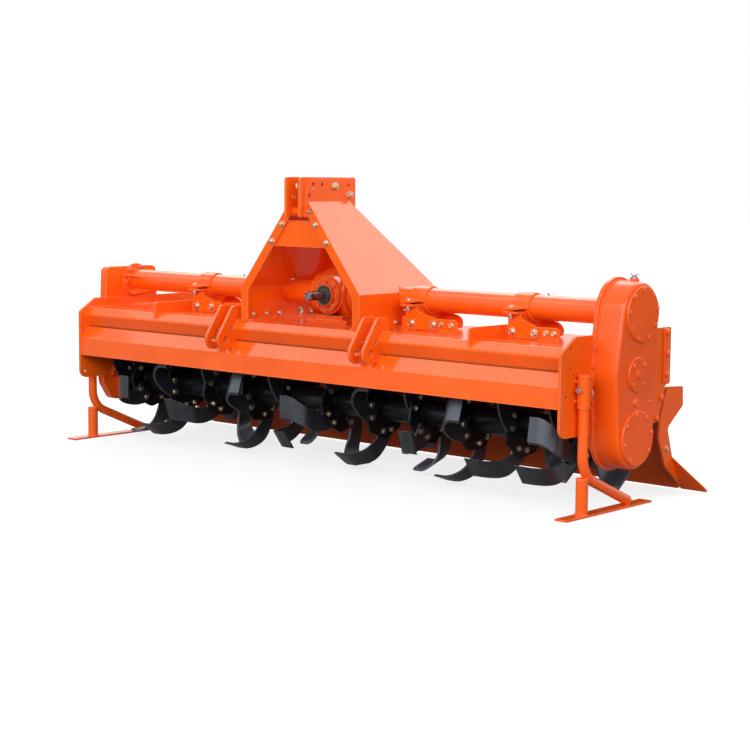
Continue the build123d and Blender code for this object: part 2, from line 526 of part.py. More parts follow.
hood_slope = atan2(HOOD_EDGE[1] - HOOD_HEIGHT, HOOD_EDGE[0] - HOOD_BREAK_Y)
hood_knuckles = []
tab_face = outline([HOOD_EDGE, (HOOD_EDGE[0] - 42 * cos(hood_slope), HOOD_EDGE[1] - 42 * sin(hood_slope)),
                    (HOOD_EDGE[0] - 42 * cos(hood_slope) - SHEET * sin(hood_slope),
                     HOOD_EDGE[1] - 42 * sin(hood_slope) + SHEET * cos(hood_slope)),
                    (HINGE[0] + 6, HINGE[1] + BARREL_RADIUS - 1), (HINGE[0], HINGE[1])])
for station in HINGE_STATIONS:
    for side in (-1, 1):
        near = station + side * (KNUCKLE + 2)
        ends = sorted((near, near + side * HOOD_KNUCKLE))
        knuckle = bar_x(*HINGE, BARREL_RADIUS, *ends) + along_x(tab_face, *ends)
        hood_knuckles.append(knuckle - rotor_hood - bar_x(*HINGE, HINGE_PIN_RADIUS + WELD_GAP, *ends))
hinge_pins = [bar_x(*HINGE, HINGE_PIN_RADIUS, x - pin_reach, x + pin_reach) for x in HINGE_STATIONS]

# ---- rod brackets on the hood, swivels, rods and springs ----
BRACKET_GAP = 44.0
BRACKET_SHEET = 8.0
TRUNNION_RADIUS = 9.0
bracket_face = outline([(HOOD_BREAK_Y - 70, HOOD_HEIGHT), (ROD_HEAD[0] - 22, ROD_HEAD[1] + 6),
                        (ROD_HEAD[0] + 22, ROD_HEAD[1] + 6), (HOOD_BREAK_Y + 34, HOOD_HEIGHT - 60),
                        (HOOD_BREAK_Y, HOOD_HEIGHT - 3)]) + disc(*ROD_HEAD, 22)
bracket_face -= disc(*ROD_HEAD, TRUNNION_RADIUS + PIVOT_GAP)
rod_brackets, swivels, rods, springs = [], [], [], []
for x in (-ROD_X, ROD_X):
    for inside in (x - BRACKET_GAP / 2 - BRACKET_SHEET, x + BRACKET_GAP / 2):
        plate = along_x(bracket_face, inside, inside + BRACKET_SHEET)
        under = make_face(Polyline(*hood_line, (HOOD_EDGE[0], 300), (BEAM_BACK_Y, 300), close=True))
        plate -= along_x(under, inside - 1, inside + BRACKET_SHEET + 1)
        rod_brackets.append(plate.solids().sort_by(SortBy.VOLUME)[-1])
    turn = Pos(0, *ROD_HEAD) * Rot(X=rod_lean)
    block = turn * box(x - SWIVEL_HALF, x + SWIVEL_HALF, -SWIVEL_HALF, SWIVEL_HALF, -SWIVEL_HALF, SWIVEL_HALF)
    reach = BRACKET_GAP / 2 + BRACKET_SHEET + 4
    block += bar_x(*ROD_HEAD, TRUNNION_RADIUS, x - reach, x + reach)
    way = bar((x, *on_rod(-60)), (x, *on_rod(60)), ROD_RADIUS + PIVOT_GAP)
    swivels.append(block - way)
    fork_start = rod_length - 40
    rod = bar((x, *on_rod(ROD_TOP)), (x, *on_rod(fork_start)), ROD_RADIUS)
    rod += bar((x, *on_rod(-SWIVEL_HALF - 14)), (x, *on_rod(-SWIVEL_HALF - 1)), ROD_RADIUS + 8)
    collar = SPRING_TOP + SPRING_LENGTH
    rod += bar((x, *on_rod(collar)), (x, *on_rod(collar + 8)), SPRING_RADIUS + 2)
    fork = Pos(0, *ROD_EYE) * Rot(X=rod_lean)
    for inside in (x - LUG / 2 - 1.5 - EYE_FORK, x + LUG / 2 + 1.5):
        rod += fork * box(inside, inside + EYE_FORK, -14, 14, -14, 44)
    rod += fork * box(x - LUG / 2 - 1.5 - EYE_FORK, x + LUG / 2 + 1.5 + EYE_FORK, -14, 14, 38, 54)
    rod += bar_x(*ROD_EYE, EYE_PIN_RADIUS, x - 24, x + 24)
    rods.append(rod)
    spring = bar((x, *on_rod(SPRING_TOP)), (x, *on_rod(collar)), SPRING_RADIUS, ROD_RADIUS + 2)
    springs.append(spring)

# ---- rotor ----
SHAFT_TUBE_RADIUS = 50.0
DISC = 10.0
DISC_RADIUS = 122.0         # to the corners of the eight-sided discs
DISC_CORNERS = 8
DISC_PITCH = 222.0
END_DISC_X = INNER - 48
DISC_COUNT = 2 * int((END_DISC_X - 2 * DISC) // DISC_PITCH) + 1
BLADES_PER_DISC = 4         # every other one bends to the left
BLADE_SHEET = 9.0
BLADE_BEND = 70.0
BLADE_REACH = 104.0         # from the disc's face to the end of the wing
BLADE_SWEEP = 40.0          # how far the wing trails behind the root, in degrees
ROOT_SPAN = (62.0, 112.0)   # the root's lower and upper end, from the rotor's axis
ROOT_HALF = 38.0
WING_RADIUS = 235.0
WING_HALF = 44.0
WING_EDGE_BOW = (22.0, 12.0)       # how far the blade's leading and trailing edges bow forward
HELIX_START, HELIX_STEP = 130.0, 54.0
HANDS_SWAPPED = (1, 8)      # discs whose left-hand and right-hand blades change places
END_TURNS = {-1: -56.0, 1: -134.0}      # the end discs' blades, from those of the next disc
STUB_RADIUS = 30.0

rotor_tube = bar_x(0, ROTOR_HEIGHT, SHAFT_TUBE_RADIUS, -END_DISC_X + DISC, END_DISC_X - DISC,
                   SHAFT_TUBE_RADIUS - 8)
octagon = RegularPolygon(DISC_RADIUS, DISC_CORNERS)
octagon = fillet(octagon.vertices(), 30)
blade_step = 360 / BLADES_PER_DISC
# the helix stops at the last disc but one, so that the last disc stands in line with it
disc_xs = [DISC_PITCH * (k - DISC_COUNT // 2) for k in range(DISC_COUNT)]
disc_phases = [HELIX_START + HELIX_STEP * min(k, DISC_COUNT - 2) for k in range(DISC_COUNT)]
for k in HANDS_SWAPPED:
    disc_phases[k] += blade_step
end_phases = {-1: disc_phases[0] + END_TURNS[-1], 1: disc_phases[-1] + END_TURNS[1]}
rotor_discs = []
for x, phase in zip(disc_xs, disc_phases):
    ring = Pos(0, ROTOR_HEIGHT) * Rot(Z=phase) * octagon - disc(0, ROTOR_HEIGHT, SHAFT_TUBE_RADIUS + WELD_GAP)
    rotor_discs.append(along_x(ring, x - DISC / 2, x + DISC / 2))
for side, phase in end_phases.items():
    face = Pos(0, ROTOR_HEIGHT) * Rot(Z=phase) * octagon
    middle = side * END_DISC_X
    rotor_discs.append(along_x(face, middle - DISC, middle + DISC))

root_x, bend_x = DISC / 2, DISC / 2 + BLADE_BEND
bend_r = WING_RADIUS - BLADE_BEND
wing_end, wing_inside = DISC / 2 + BLADE_REACH, WING_RADIUS - BLADE_SHEET
profile = make_face([
    Line((root_x, 0), (root_x, bend_r)),
    CenterArc((bend_x, bend_r), BLADE_BEND, 90, 90),
    Line((bend_x, WING_RADIUS), (wing_end, WING_RADIUS)),
    Line((wing_end, WING_RADIUS), (wing_end, wing_inside)),
    Line((wing_end, wing_inside), (bend_x, wing_inside)),
    CenterArc((bend_x, bend_r), BLADE_BEND - BLADE_SHEET, 90, 90),
    Line((root_x + BLADE_SHEET, bend_r), (root_x + BLADE_SHEET, 0)),
    Line((root_x + BLADE_SHEET, 0), (root_x, 0)),
])


def from_root(radius, along):
    """A point of the blade's outline, by its distance out from the rotor's axis and along the root."""
    c, s = cos(radians(BLADE_SWEEP)), sin(radians(BLADE_SWEEP))
    return (along * c - radius * s, radius * c + along * s)


def edge_between(low, high, bow):
    """An edge from root to wing, bowed towards the blade's leading side."""
    return ThreePointArc(low, ((low[0] + high[0]) / 2 - bow, (low[1] + high[1]) / 2 + bow / 2), high)


root_low = [from_root(ROOT_SPAN[0], side * ROOT_HALF) for side in (-1, 1)]
root_high = [from_root(ROOT_SPAN[1], side * ROOT_HALF) for side in (-1, 1)]
wing_top = [(side * WING_HALF, WING_RADIUS + 5) for side in (-1, 1)]
blade_face = make_face([
    Line(root_low[0], root_low[1]), Line(root_low[1], root_high[1]),
    edge_between(root_high[1], wing_top[1], WING_EDGE_BOW[1]), Line(wing_top[1], wing_top[0]),
    edge_between(root_high[0], wing_top[0], WING_EDGE_BOW[0]), Line(root_high[0], root_low[0]),
])
blade = Rot(X=-BLADE_SWEEP) * (along_y(profile, -200, 200) & along_x(blade_face, 0, wing_end + 10))
blade_mirror = mirrored(blade)
blades_right, blades_left = [], []
for x, phase in zip(disc_xs, disc_phases):
    for k in range(BLADES_PER_DISC):
        shape, group = ((blade, blades_right), (blade_mirror, blades_left))[k % 2]
        group.append(Pos(x, 0, ROTOR_HEIGHT) * Rot(X=phase + blade_step * k) * shape)
for side, phase in end_phases.items():
    shape, group = (blade, blades_right) if side < 0 else (blade_mirror, blades_left)
    for turn_of in (phase, phase + 180):
        seat_x = side * (END_DISC_X - DISC / 2)
        group.append(Pos(seat_x, 0, ROTOR_HEIGHT) * Rot(X=turn_of) * shape)

# bearings and stub shafts at the rotor's ends
HUB_FACE = INNER - 16
BEARING_FLANGE = (128.0, 12.0)     # radius and thickness
flange = bar_x(0, ROTOR_HEIGHT, BEARING_FLANGE[0], INNER - BEARING_FLANGE[1], INNER)
hub = bar_x(0, ROTOR_HEIGHT, HUB_RADIUS, HUB_FACE, HALF)
shaft_bore = bar_x(0, ROTOR_HEIGHT, STUB_RADIUS + PIVOT_GAP, HUB_FACE, HALF - 5)
rotor_bearing_right = hub + (flange & along_x(plate_face, 0, HALF)) - shaft_bore
rotor_bearing_left = mirrored(rotor_bearing_right)
stub = bar_x(0, ROTOR_HEIGHT, STUB_RADIUS, END_DISC_X + DISC, HALF - 5 - PIVOT_GAP)
rotor_stubs = [stub, mirrored(stub)]

# ---- nodes ----
nodes = {
    "front_beam": front_beam, "front_apron": front_apron, "rotor_hood": rotor_hood,
    "end_plate_left": end_plate_left, "end_plate_right": end_plate_right,
    "side_arm_left": side_arm_left, "gearcase_housing": gearcase_housing,
    "gearcase_upper_cap": gearcase_upper_cap, "gearcase_idler_cap": gearcase_idler_cap,
    "gearcase_lower_cap": gearcase_lower_cap, "gearcase_breather": gearcase_breather,
    "cross_tube_left": cross_tube_left, "cross_tube_right": cross_tube_right,
    "gearbox_housing": gearbox_housing, "gearbox_input_cap": gearbox_input_cap,
    "gearbox_rear_cover": gearbox_rear_cover, "input_shaft": input_shaft,
    "mast_arm_left": mast_arm_left, "mast_arm_right": mast_arm_right,
    "mast_front_plate": mast_front_plate, "mast_cheek_left": mast_cheek_left,
    "mast_cheek_right": mast_cheek_right, "mast_doublers": mast_doublers,
    "mast_spacers": mast_spacers, "mast_bolts": mast_bolts,
    "lower_hitch_left": lower_hitch_left, "lower_hitch_right": lower_hitch_right,
    "clamp_saddles": clamp_saddles, "clamp_caps": clamp_caps, "clamp_pads": clamp_pads,
    "stand_socket_left": mirrored(socket_right), "stand_socket_right": socket_right,
    "stand_lock_pins": lock_pins_right + [mirrored(pin) for pin in lock_pins_right],
    "stand_left": stand_left, "stand_right": stand_right,
    "tailboard_panel": tailboard_panel, "tailboard_cheeks": tailboard_cheeks,
    "tailboard_lugs": tail_lugs, "hood_knuckles": hood_knuckles, "hinge_pins": hinge_pins,
    "rod_brackets": rod_brackets, "rod_swivel_left": swivels[0], "rod_swivel_right": swivels[1],
    "pressure_rod_left": rods[0], "pressure_rod_right": rods[1],
    "pressure_spring_left": springs[0], "pressure_spring_right": springs[1],
    "rotor_tube": rotor_tube, "rotor_discs": rotor_discs, "rotor_stubs": rotor_stubs,
    "blades_left_hand": blades_left, "blades_right_hand": blades_right,
    "rotor_bearing_left": rotor_bearing_left, "rotor_bearing_right": rotor_bearing_right,
}


def solids_of(piece):
    pieces = piece if isinstance(piece, (list, tuple)) else [piece]
    return [solid for shape in pieces for solid in shape.solids()]


whole = Compound([solid for piece in nodes.values() for solid in solids_of(piece)]).bounding_box()
# the row's origin is under the middle of the whole machine
SHIFT = Vector(-(whole.min.X + whole.max.X) / 2, -(whole.min.Y + whole.max.Y) / 2, -whole.min.Z)
os.makedirs("parts", exist_ok=True)
for name, piece in nodes.items():
    solids = [Pos(SHIFT) * solid for solid in solids_of(piece)]
    export_step(solids[0] if len(solids) == 1 else Compound(solids), f"parts/{name}.step")
print("shift", SHIFT, "size", whole.size)
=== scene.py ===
import bpy
import random
from math import cos, pi, radians, sin, sqrt
from mathutils import Matrix, Vector


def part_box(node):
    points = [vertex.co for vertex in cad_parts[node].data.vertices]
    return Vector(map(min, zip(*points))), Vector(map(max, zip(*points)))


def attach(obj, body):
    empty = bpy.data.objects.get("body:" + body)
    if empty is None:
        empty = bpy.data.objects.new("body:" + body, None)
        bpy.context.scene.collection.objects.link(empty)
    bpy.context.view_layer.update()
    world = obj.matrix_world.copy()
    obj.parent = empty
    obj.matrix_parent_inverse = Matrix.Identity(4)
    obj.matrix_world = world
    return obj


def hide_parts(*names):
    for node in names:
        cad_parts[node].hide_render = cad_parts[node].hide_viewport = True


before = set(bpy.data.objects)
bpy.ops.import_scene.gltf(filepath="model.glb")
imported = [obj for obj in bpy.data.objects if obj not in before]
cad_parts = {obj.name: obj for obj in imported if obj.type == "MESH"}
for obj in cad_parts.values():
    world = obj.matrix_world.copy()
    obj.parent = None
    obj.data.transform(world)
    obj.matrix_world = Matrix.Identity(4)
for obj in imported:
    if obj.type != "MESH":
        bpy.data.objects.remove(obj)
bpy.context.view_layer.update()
bpy.ops.object.select_all(action="DESELECT")
random.seed(7)

# Places are given in millimetres from the middle of the rotor: x towards the side gearcase, y back
# from the rotor's axis, z up from the floor.
rotor_low, rotor_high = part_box("rotor_tube")
MIDDLE_X = (rotor_low.x + rotor_high.x) / 2
AXIS_Y = (rotor_low.y + rotor_high.y) / 2


def at(x, y, z):
    return Vector((MIDDLE_X + x / 1000, AXIS_Y + y / 1000, z / 1000))


def mm(value):
    return value / 1000


# ---- driving dimensions, as the frame has them ----
HALF = 1248.0               # from the middle to an end plate's outer face
INNER = 1238.0              # and to its inner face
TUBE_Y, TUBE_Z = 17.0, 675.0
TUBE_RADIUS = 44.5
HOOD_Z = 566.0              # top of the hood
ROTOR_Z = 253.0
CASE_FACE = 1364.0          # outside of the gearcase's covers
CASE_SIDE = 1356.0          # outside of the gearcase between its covers

SIDES = {-1: "left", 1: "right"}
FORWARD, BACK = Vector((0, -1, 0)), Vector((0, 1, 0))
UP, DOWN = Vector((0, 0, 1)), Vector((0, 0, -1))
RIGHT, LEFT = Vector((1, 0, 0)), Vector((-1, 0, 0))


def sideways(side):
    return Vector((side, 0, 0))


def stood(place, way):
    """The move that stands a shape modelled along Z at a place, along a direction."""
    return Matrix.Translation(place) @ way.to_track_quat("Z", "Y").to_matrix().to_4x4()


# ==================================================================================================
# modelling helpers
# ==================================================================================================


def select_only(*pieces):
    bpy.ops.object.select_all(action="DESELECT")
    for piece in pieces:
        piece.select_set(True)
    bpy.context.view_layer.objects.active = pieces[-1]


def take_new(name):
    piece = bpy.context.active_object
    piece.name = name
    piece.data.name = name
    return piece


def clear_picks(piece, kind):
    """Deselects the whole mesh, and leaves edit mode set to pick one kind of element."""
    select_only(piece)
    bpy.ops.object.mode_set(mode="EDIT")
    bpy.ops.mesh.select_mode(type=kind)
    bpy.ops.mesh.select_all(action="DESELECT")
    bpy.ops.object.mode_set(mode="OBJECT")


def edit_faces(piece, wanted):
    """Goes into edit mode with only the wanted faces selected."""
    clear_picks(piece, "FACE")
    for face in piece.data.polygons:
        face.select = wanted(face)
    bpy.ops.object.mode_set(mode="EDIT")


def edit_edges(piece, wanted):
    """Goes into edit mode with only the wanted edges selected, told by their two ends."""
    clear_picks(piece, "EDGE")
    points = piece.data.vertices
    for edge in piece.data.edges:
        edge.select = wanted(points[edge.vertices[0]].co, points[edge.vertices[1]].co)
    bpy.ops.object.mode_set(mode="EDIT")


def leave_edit():
    bpy.ops.object.mode_set(mode="OBJECT")


def smooth(piece, angle=35):
    select_only(piece)
    bpy.ops.object.shade_smooth_by_angle(angle=radians(angle))


def freeze(piece):
    """Puts the piece's place into its mesh."""
    select_only(piece)
    bpy.ops.object.transform_apply(location=True, rotation=True, scale=True)


def join(name, pieces):
    select_only(*pieces)
    if len(pieces) > 1:
        bpy.ops.object.join()
    return take_new(name)


def cylinder(name, radius, depth, sides=24, base=0.0):
    """An upright cylinder on the origin, from the base height up."""
    bpy.ops.mesh.primitive_cylinder_add(vertices=sides, radius=mm(radius), depth=mm(depth),
                                        location=(0, 0, mm(base + depth / 2)))
    piece = take_new(name)
    freeze(piece)
    return piece


def chamfer_top(piece, height, size, segments=1):
    """Bevels the edges of the face at a height."""
    top = mm(height) - 1e-6
    edit_edges(piece, lambda a, b: a.z > top and b.z > top)
    bpy.ops.mesh.bevel(offset=mm(size), segments=segments, affect="EDGES")
    leave_edit()


def step_top(piece, *steps):
    """Insets the top face and moves it up, once for each step of (inset, rise)."""
    edit_faces(piece, lambda face: face.normal.z > 0.9)
    for inset, rise in steps:
        bpy.ops.mesh.inset(thickness=mm(inset))
        bpy.ops.transform.translate(value=(0, 0, mm(rise)))
    leave_edit()


def wire(name, places, radius, resolution, closed=False, waist=1.0):
    """A round wire through the places, thinned to its waist at every other one, as a mesh."""
    curve = bpy.data.curves.new(name, "CURVE")
    curve.dimensions = "3D"
    curve.bevel_depth = mm(radius)
    curve.bevel_resolution = resolution
    curve.use_fill_caps = True
    spline = curve.splines.new("POLY")
    spline.use_cyclic_u = closed
    spline.points.add(len(places) - 1)
    for k, (point, place) in enumerate(zip(spline.points, places)):
        point.co = (*place, 1)
        point.radius = 1.0 if k % 2 else waist
    piece = bpy.data.objects.new(name, curve)
    bpy.context.scene.collection.objects.link(piece)
    select_only(piece)
    bpy.ops.object.convert(target="MESH")
    return take_new(name)


def dress(piece, body, material):
    piece.data.materials.clear()
    piece.data.materials.append(material)
    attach(piece, body)
    return piece


def copies(name, pattern, spots, body, material):
    """Copies of the pattern, each standing along a direction at a spot, joined into one piece."""
    made = []
    for place, way in spots:
        mesh = pattern.data.copy()
        twist = Matrix.Rotation(random.uniform(0, 2 * pi), 4, "Z")
        mesh.transform(stood(place, way) @ twist)
        piece = bpy.data.objects.new(name, mesh)
        bpy.context.scene.collection.objects.link(piece)
        made.append(piece)
    return dress(join(name, made), body, material)


def remove(*pieces):
    for piece in pieces:
        bpy.data.objects.remove(piece)


# ==================================================================================================
# finishes
# ==================================================================================================

DUST = (0.60, 0.27, 0.13)           # dried earth on orange enamel
EDGE_HIGHLIGHT_ORANGE = (1.0, 0.31, 0.11)     # painted highlight along sharp edges
# rubbed edges in patches, pale orange: partly wear, partly a painted highlight
RUBBED_SHEEN_ORANGE = (1.0, 0.42, 0.20)
SCUFF_GREY = (0.10, 0.105, 0.12)
RUBBED_STEEL = (0.36, 0.36, 0.38)
# painted reflection of the sky, on black enamel where it looks up
PAINTED_SKY_BLUE = (0.12, 0.135, 0.18)
BLACK_DUST = (0.20, 0.17, 0.15)
OILY_DIRT = (0.05, 0.04, 0.035)
BEVEL_SAMPLES = 4


class Nodes:
    """A node tree with short calls for making and joining nodes."""

    def __init__(self, tree):
        self.tree = tree
        self.column = 0

    def add(self, kind, **settings):
        node = self.tree.nodes.new(kind)
        self.column += 180
        node.location = (self.column, 0)
        for name, value in settings.items():
            setattr(node, name, value)
        return node

    def link(self, source, target):
        self.tree.links.new(source, target)

    def fill(self, sockets, values):
        """Gives each socket its number or colour, or joins it to the socket that feeds it."""
        for socket, value in zip(sockets, values):
            if isinstance(value, (int, float)):
                socket.default_value = value
            elif isinstance(value, tuple):
                socket.default_value = (*value, 1)
            elif value is not None:
                self.link(value, socket)

    def maths(self, operation, first, second, clamp=False):
        node = self.add("ShaderNodeMath", operation=operation, use_clamp=clamp)
        self.fill(node.inputs, (first, second))
        return node.outputs[0]

    def times(self, first, second, clamp=False):
        return self.maths("MULTIPLY", first, second, clamp)

    def noise(self, vector, scale, detail=2, rough=0.5):
        node = self.add("ShaderNodeTexNoise")
        labels = ("Vector", "Scale", "Detail", "Roughness")
        self.fill([node.inputs[label] for label in labels], (vector, scale, detail, rough))
        return node.outputs["Fac"]

    def between(self, value, levels, result=(0.0, 1.0)):
        """A value's run between two levels, turned into a run between two results."""
        node = self.add("ShaderNodeMapRange", clamp=True)
        labels = ("Value", "From Min", "From Max", "To Min", "To Max")
        self.fill([node.inputs[label] for label in labels], (value, *levels, *result))
        return node.outputs["Result"]

    def patches(self, vector, scale, detail, rough, levels, result=(0.0, 1.0)):
        return self.between(self.noise(vector, scale, detail, rough), levels, result)

    def mix(self, factor, first, second):
        node = self.add("ShaderNodeMix", data_type="RGBA")
        self.fill([node.inputs[0], node.inputs[6], node.inputs[7]], (factor, first, second))
        return node.outputs[2]


def preset(sockets, values):
    """Sets the constants on a node's own sockets, by label."""
    for label, value in values.items():
        sockets[label].default_value = value


def new_group(name, inputs, outputs):
    """An empty node group: its inputs are (label, kind, value), its outputs are number labels."""
    kinds = {"number": "NodeSocketFloat", "vector": "NodeSocketVector"}
    tree = bpy.data.node_groups.new(name, "ShaderNodeTree")
    for label, kind, value in inputs:
        socket = tree.interface.new_socket(name=label, in_out="INPUT", socket_type=kinds[kind])
        if value is not None:
            socket.default_value = value
    for label in outputs:
        tree.interface.new_socket(name=label, in_out="OUTPUT", socket_type=kinds["number"])
    nodes = Nodes(tree)
    return tree, nodes, nodes.add("NodeGroupInput").outputs, nodes.add("NodeGroupOutput").inputs


def make_edge_wear():
    """How near a place is to a sharp edge, and how worn that leaves it, broken up by noise."""
    tree, nodes, given, out = new_group(
        "edge_wear",
        [("Vector", "vector", None), ("Width", "number", 0.003), ("Amount", "number", 0.5)],
        ["Wear", "Edge"])
    rounded = nodes.add("ShaderNodeBevel", samples=BEVEL_SAMPLES)
    nodes.link(given["Width"], rounded.inputs["Radius"])
    true_way = nodes.add("ShaderNodeNewGeometry")
    alike = nodes.add("ShaderNodeVectorMath", operation="DOT_PRODUCT")
    nodes.fill(alike.inputs, (rounded.outputs["Normal"], true_way.outputs["Normal"]))
    edge = nodes.between(alike.outputs["Value"], (0.995, 0.90))
    # Edge: the plain edge mask, which orange enamel uses for a painted highlight
    nodes.link(edge, out["Edge"])
    worn = nodes.times(edge, nodes.patches(given["Vector"], 60, 4, 0.65, (0.46, 0.62)))
    nodes.link(nodes.times(worn, given["Amount"], clamp=True), out["Wear"])
    return tree


def make_dust():
    """Pale dust that settles on faces that look up and hangs in patches lower down."""
    tree, nodes, given, out = new_group(
        "dust", [("Vector", "vector", None), ("Amount", "number", 0.3)], ["Dust", "Upward"])
    faces = nodes.add("ShaderNodeNewGeometry")
    parts = nodes.add("ShaderNodeSeparateXYZ")
    nodes.link(faces.outputs["Normal"], parts.inputs[0])
    upward = nodes.between(parts.outputs["Z"], (0.2, 1.0), (0.25, 1.0))
    # Upward: how far a face looks up, the mask of the painted sky reflection on black enamel
    nodes.link(nodes.between(parts.outputs["Z"], (-0.05, 0.35)), out["Upward"])
    clouds = nodes.patches(given["Vector"], 9, 5, 0.6, (0.45, 0.75))
    grain = nodes.patches(given["Vector"], 420, 2, 0.5, (0.35, 0.65), (0.5, 1.0))
    settled = nodes.times(nodes.times(upward, clouds), grain)
    nodes.link(nodes.times(settled, given["Amount"], clamp=True), out["Dust"])
    return tree


def make_orange_peel():
    """The height of sprayed enamel: a fine peel over slow sheet ripples."""
    tree, nodes, given, out = new_group(
        "orange_peel",
        [("Vector", "vector", None), ("Peel", "number", 1.0), ("Ripple", "number", 1.0)],
        ["Height"])
    peel = nodes.times(nodes.noise(given["Vector"], 480, 1), given["Peel"])
    ripple = nodes.times(nodes.noise(given["Vector"], 7), given["Ripple"])
    nodes.link(nodes.maths("ADD", peel, nodes.times(ripple, 6.0)), out["Height"])
    return tree


def make_casting():
    """The height of a sand casting: coarse grain over shallow lumps."""
    tree, nodes, given, out = new_group(
        "casting", [("Vector", "vector", None), ("Grain", "number", 220.0)], ["Height"])
    grain = nodes.noise(given["Vector"], given["Grain"], 4)
    lumps = nodes.noise(given["Vector"], 30)
    nodes.link(nodes.maths("ADD", grain, lumps), out["Height"])
    return tree


def make_scuffs():
    """Fine scratches and rubbed streaks, longest along X."""
    tree, nodes, given, out = new_group(
        "scuffs", [("Vector", "vector", None), ("Amount", "number", 0.5)], ["Scuff"])
    stretch = nodes.add("ShaderNodeMapping")
    stretch.inputs["Scale"].default_value = (0.25, 1.0, 1.0)
    nodes.link(given["Vector"], stretch.inputs["Vector"])
    streaks = nodes.patches(stretch.outputs["Vector"], 260, 3, 0.7, (0.55, 0.72))
    rubbed = nodes.patches(given["Vector"], 22, 3, 0.6, (0.42, 0.62))
    both = nodes.times(streaks, rubbed)
    nodes.link(nodes.times(both, given["Amount"], clamp=True), out["Scuff"])
    return tree


edge_wear, dust, orange_peel = make_edge_wear(), make_dust(), make_orange_peel()
casting, scuffs = make_casting(), make_scuffs()


def start_material(name):
    """A new material with its tree, its shader's sockets and the object's coordinates."""
    material = bpy.data.materials.new(name)
    material.use_nodes = True
    nodes = Nodes(material.node_tree)
    shader = material.node_tree.nodes["Principled BSDF"]
    shader.location = (2600, 0)
    material.node_tree.nodes["Material Output"].location = (2900, 0)
    coordinates = nodes.add("ShaderNodeTexCoord").outputs["Object"]
    return material, nodes, shader.inputs, coordinates


def place_group(nodes, group, coordinates, **values):
    """Places a shared effect, and hands back its outputs."""
    node = nodes.add("ShaderNodeGroup", node_tree=group)
    nodes.link(coordinates, node.inputs["Vector"])
    preset(node.inputs, values)
    return node.outputs


def bump(nodes, shader, height, distance, strength, rounding):
    """Raises the surface by the height, over edges that are rounded a little."""
    rounded = nodes.add("ShaderNodeBevel", samples=BEVEL_SAMPLES)
    rounded.inputs["Radius"].default_value = rounding
    node = nodes.add("ShaderNodeBump")
    preset(node.inputs, {"Strength": strength, "Distance": distance})
    nodes.link(height, node.inputs["Height"])
    nodes.link(rounded.outputs["Normal"], node.inputs["Normal"])
    nodes.link(node.outputs["Normal"], shader["Normal"])


def orange_enamel(name, colour, peel, ripple, wear, cast=False, rough=0.30, coat=0.5,
                  coat_rough=0.09):
    """Glossy orange enamel over sheet or, where cast is true, over a sand casting."""
    material, nodes, shader, where = start_material(name)
    deep = tuple(part * 0.86 for part in colour)
    tone = nodes.mix(nodes.patches(where, 2.3, 3, 0.55, (0.35, 0.65)), deep, colour)
    grime = place_group(nodes, dust, where, Amount=0.16)["Dust"]
    tone = nodes.mix(grime, tone, DUST)
    bare = place_group(nodes, edge_wear, where, Width=0.0035, Amount=wear)
    # painted highlight: a pale orange line along every sharp edge of the enamel
    tone = nodes.mix(nodes.times(bare["Edge"], 0.8), tone, EDGE_HIGHLIGHT_ORANGE)
    # rubbed edges in patches, drawn pale orange: partly wear, partly a painted highlight
    tone = nodes.mix(bare["Wear"], tone, RUBBED_SHEEN_ORANGE)
    nodes.link(tone, shader["Base Color"])
    roughness = nodes.patches(where, 34, 3, 0.6, (0.3, 0.7), (rough - 0.05, rough + 0.08))
    nodes.link(nodes.maths("ADD", roughness, nodes.times(grime, 0.5)), shader["Roughness"])
    preset(shader, {"Coat Weight": coat, "Coat Roughness": coat_rough, "Specular IOR Level": 0.1})
    if cast:
        height = place_group(nodes, casting, where, Grain=240.0)["Height"]
        bump(nodes, shader, height, 0.0006, 0.3, 0.004)
    else:
        height = place_group(nodes, orange_peel, where, Peel=peel, Ripple=ripple)["Height"]
        bump(nodes, shader, height, 0.0003, 0.2, 0.002)
    return material


def black_enamel(name, colour, rough, wear, scuff, gloss, sky_sheen):
    """Satin black enamel, rubbed grey at edges and in streaks, with painted sky reflection on
    upward faces.
    """
    material, nodes, shader, where = start_material(name)
    lighter = tuple(part * 1.8 + 0.001 for part in colour)
    tone = nodes.mix(nodes.patches(where, 11, 4, 0.6, (0.4, 0.7)), colour, lighter)
    rubbed = place_group(nodes, scuffs, where, Amount=scuff)["Scuff"]
    tone = nodes.mix(rubbed, tone, SCUFF_GREY)
    bare = place_group(nodes, edge_wear, where, Width=0.002, Amount=wear)["Wear"]
    tone = nodes.mix(bare, tone, RUBBED_STEEL)
    # real dust, and the mask of the painted sky reflection below
    grime = place_group(nodes, dust, where, Amount=0.05)
    # painted reflection of the sky: faces that look up drawn bluish grey
    tone = nodes.mix(nodes.times(grime["Upward"], sky_sheen), tone, PAINTED_SKY_BLUE)
    tone = nodes.mix(grime["Dust"], tone, BLACK_DUST)
    nodes.link(tone, shader["Base Color"])
    roughness = nodes.patches(where, 40, 3, 0.6, (0.3, 0.7), (rough - 0.06, rough + 0.10))
    nodes.link(nodes.maths("ADD", roughness, nodes.times(rubbed, 0.15)), shader["Roughness"])
    nodes.link(nodes.times(bare, 0.6), shader["Metallic"])
    preset(shader, {"Coat Weight": gloss * 0.6, "Coat Roughness": 0.18,
                    "Specular IOR Level": gloss, "Specular Tint": (0.80, 0.88, 1.0, 1)})
    height = place_group(nodes, orange_peel, where, Peel=1.0, Ripple=0.6)["Height"]
    bump(nodes, shader, height, 0.0005, 0.4, 0.0015)
    return material


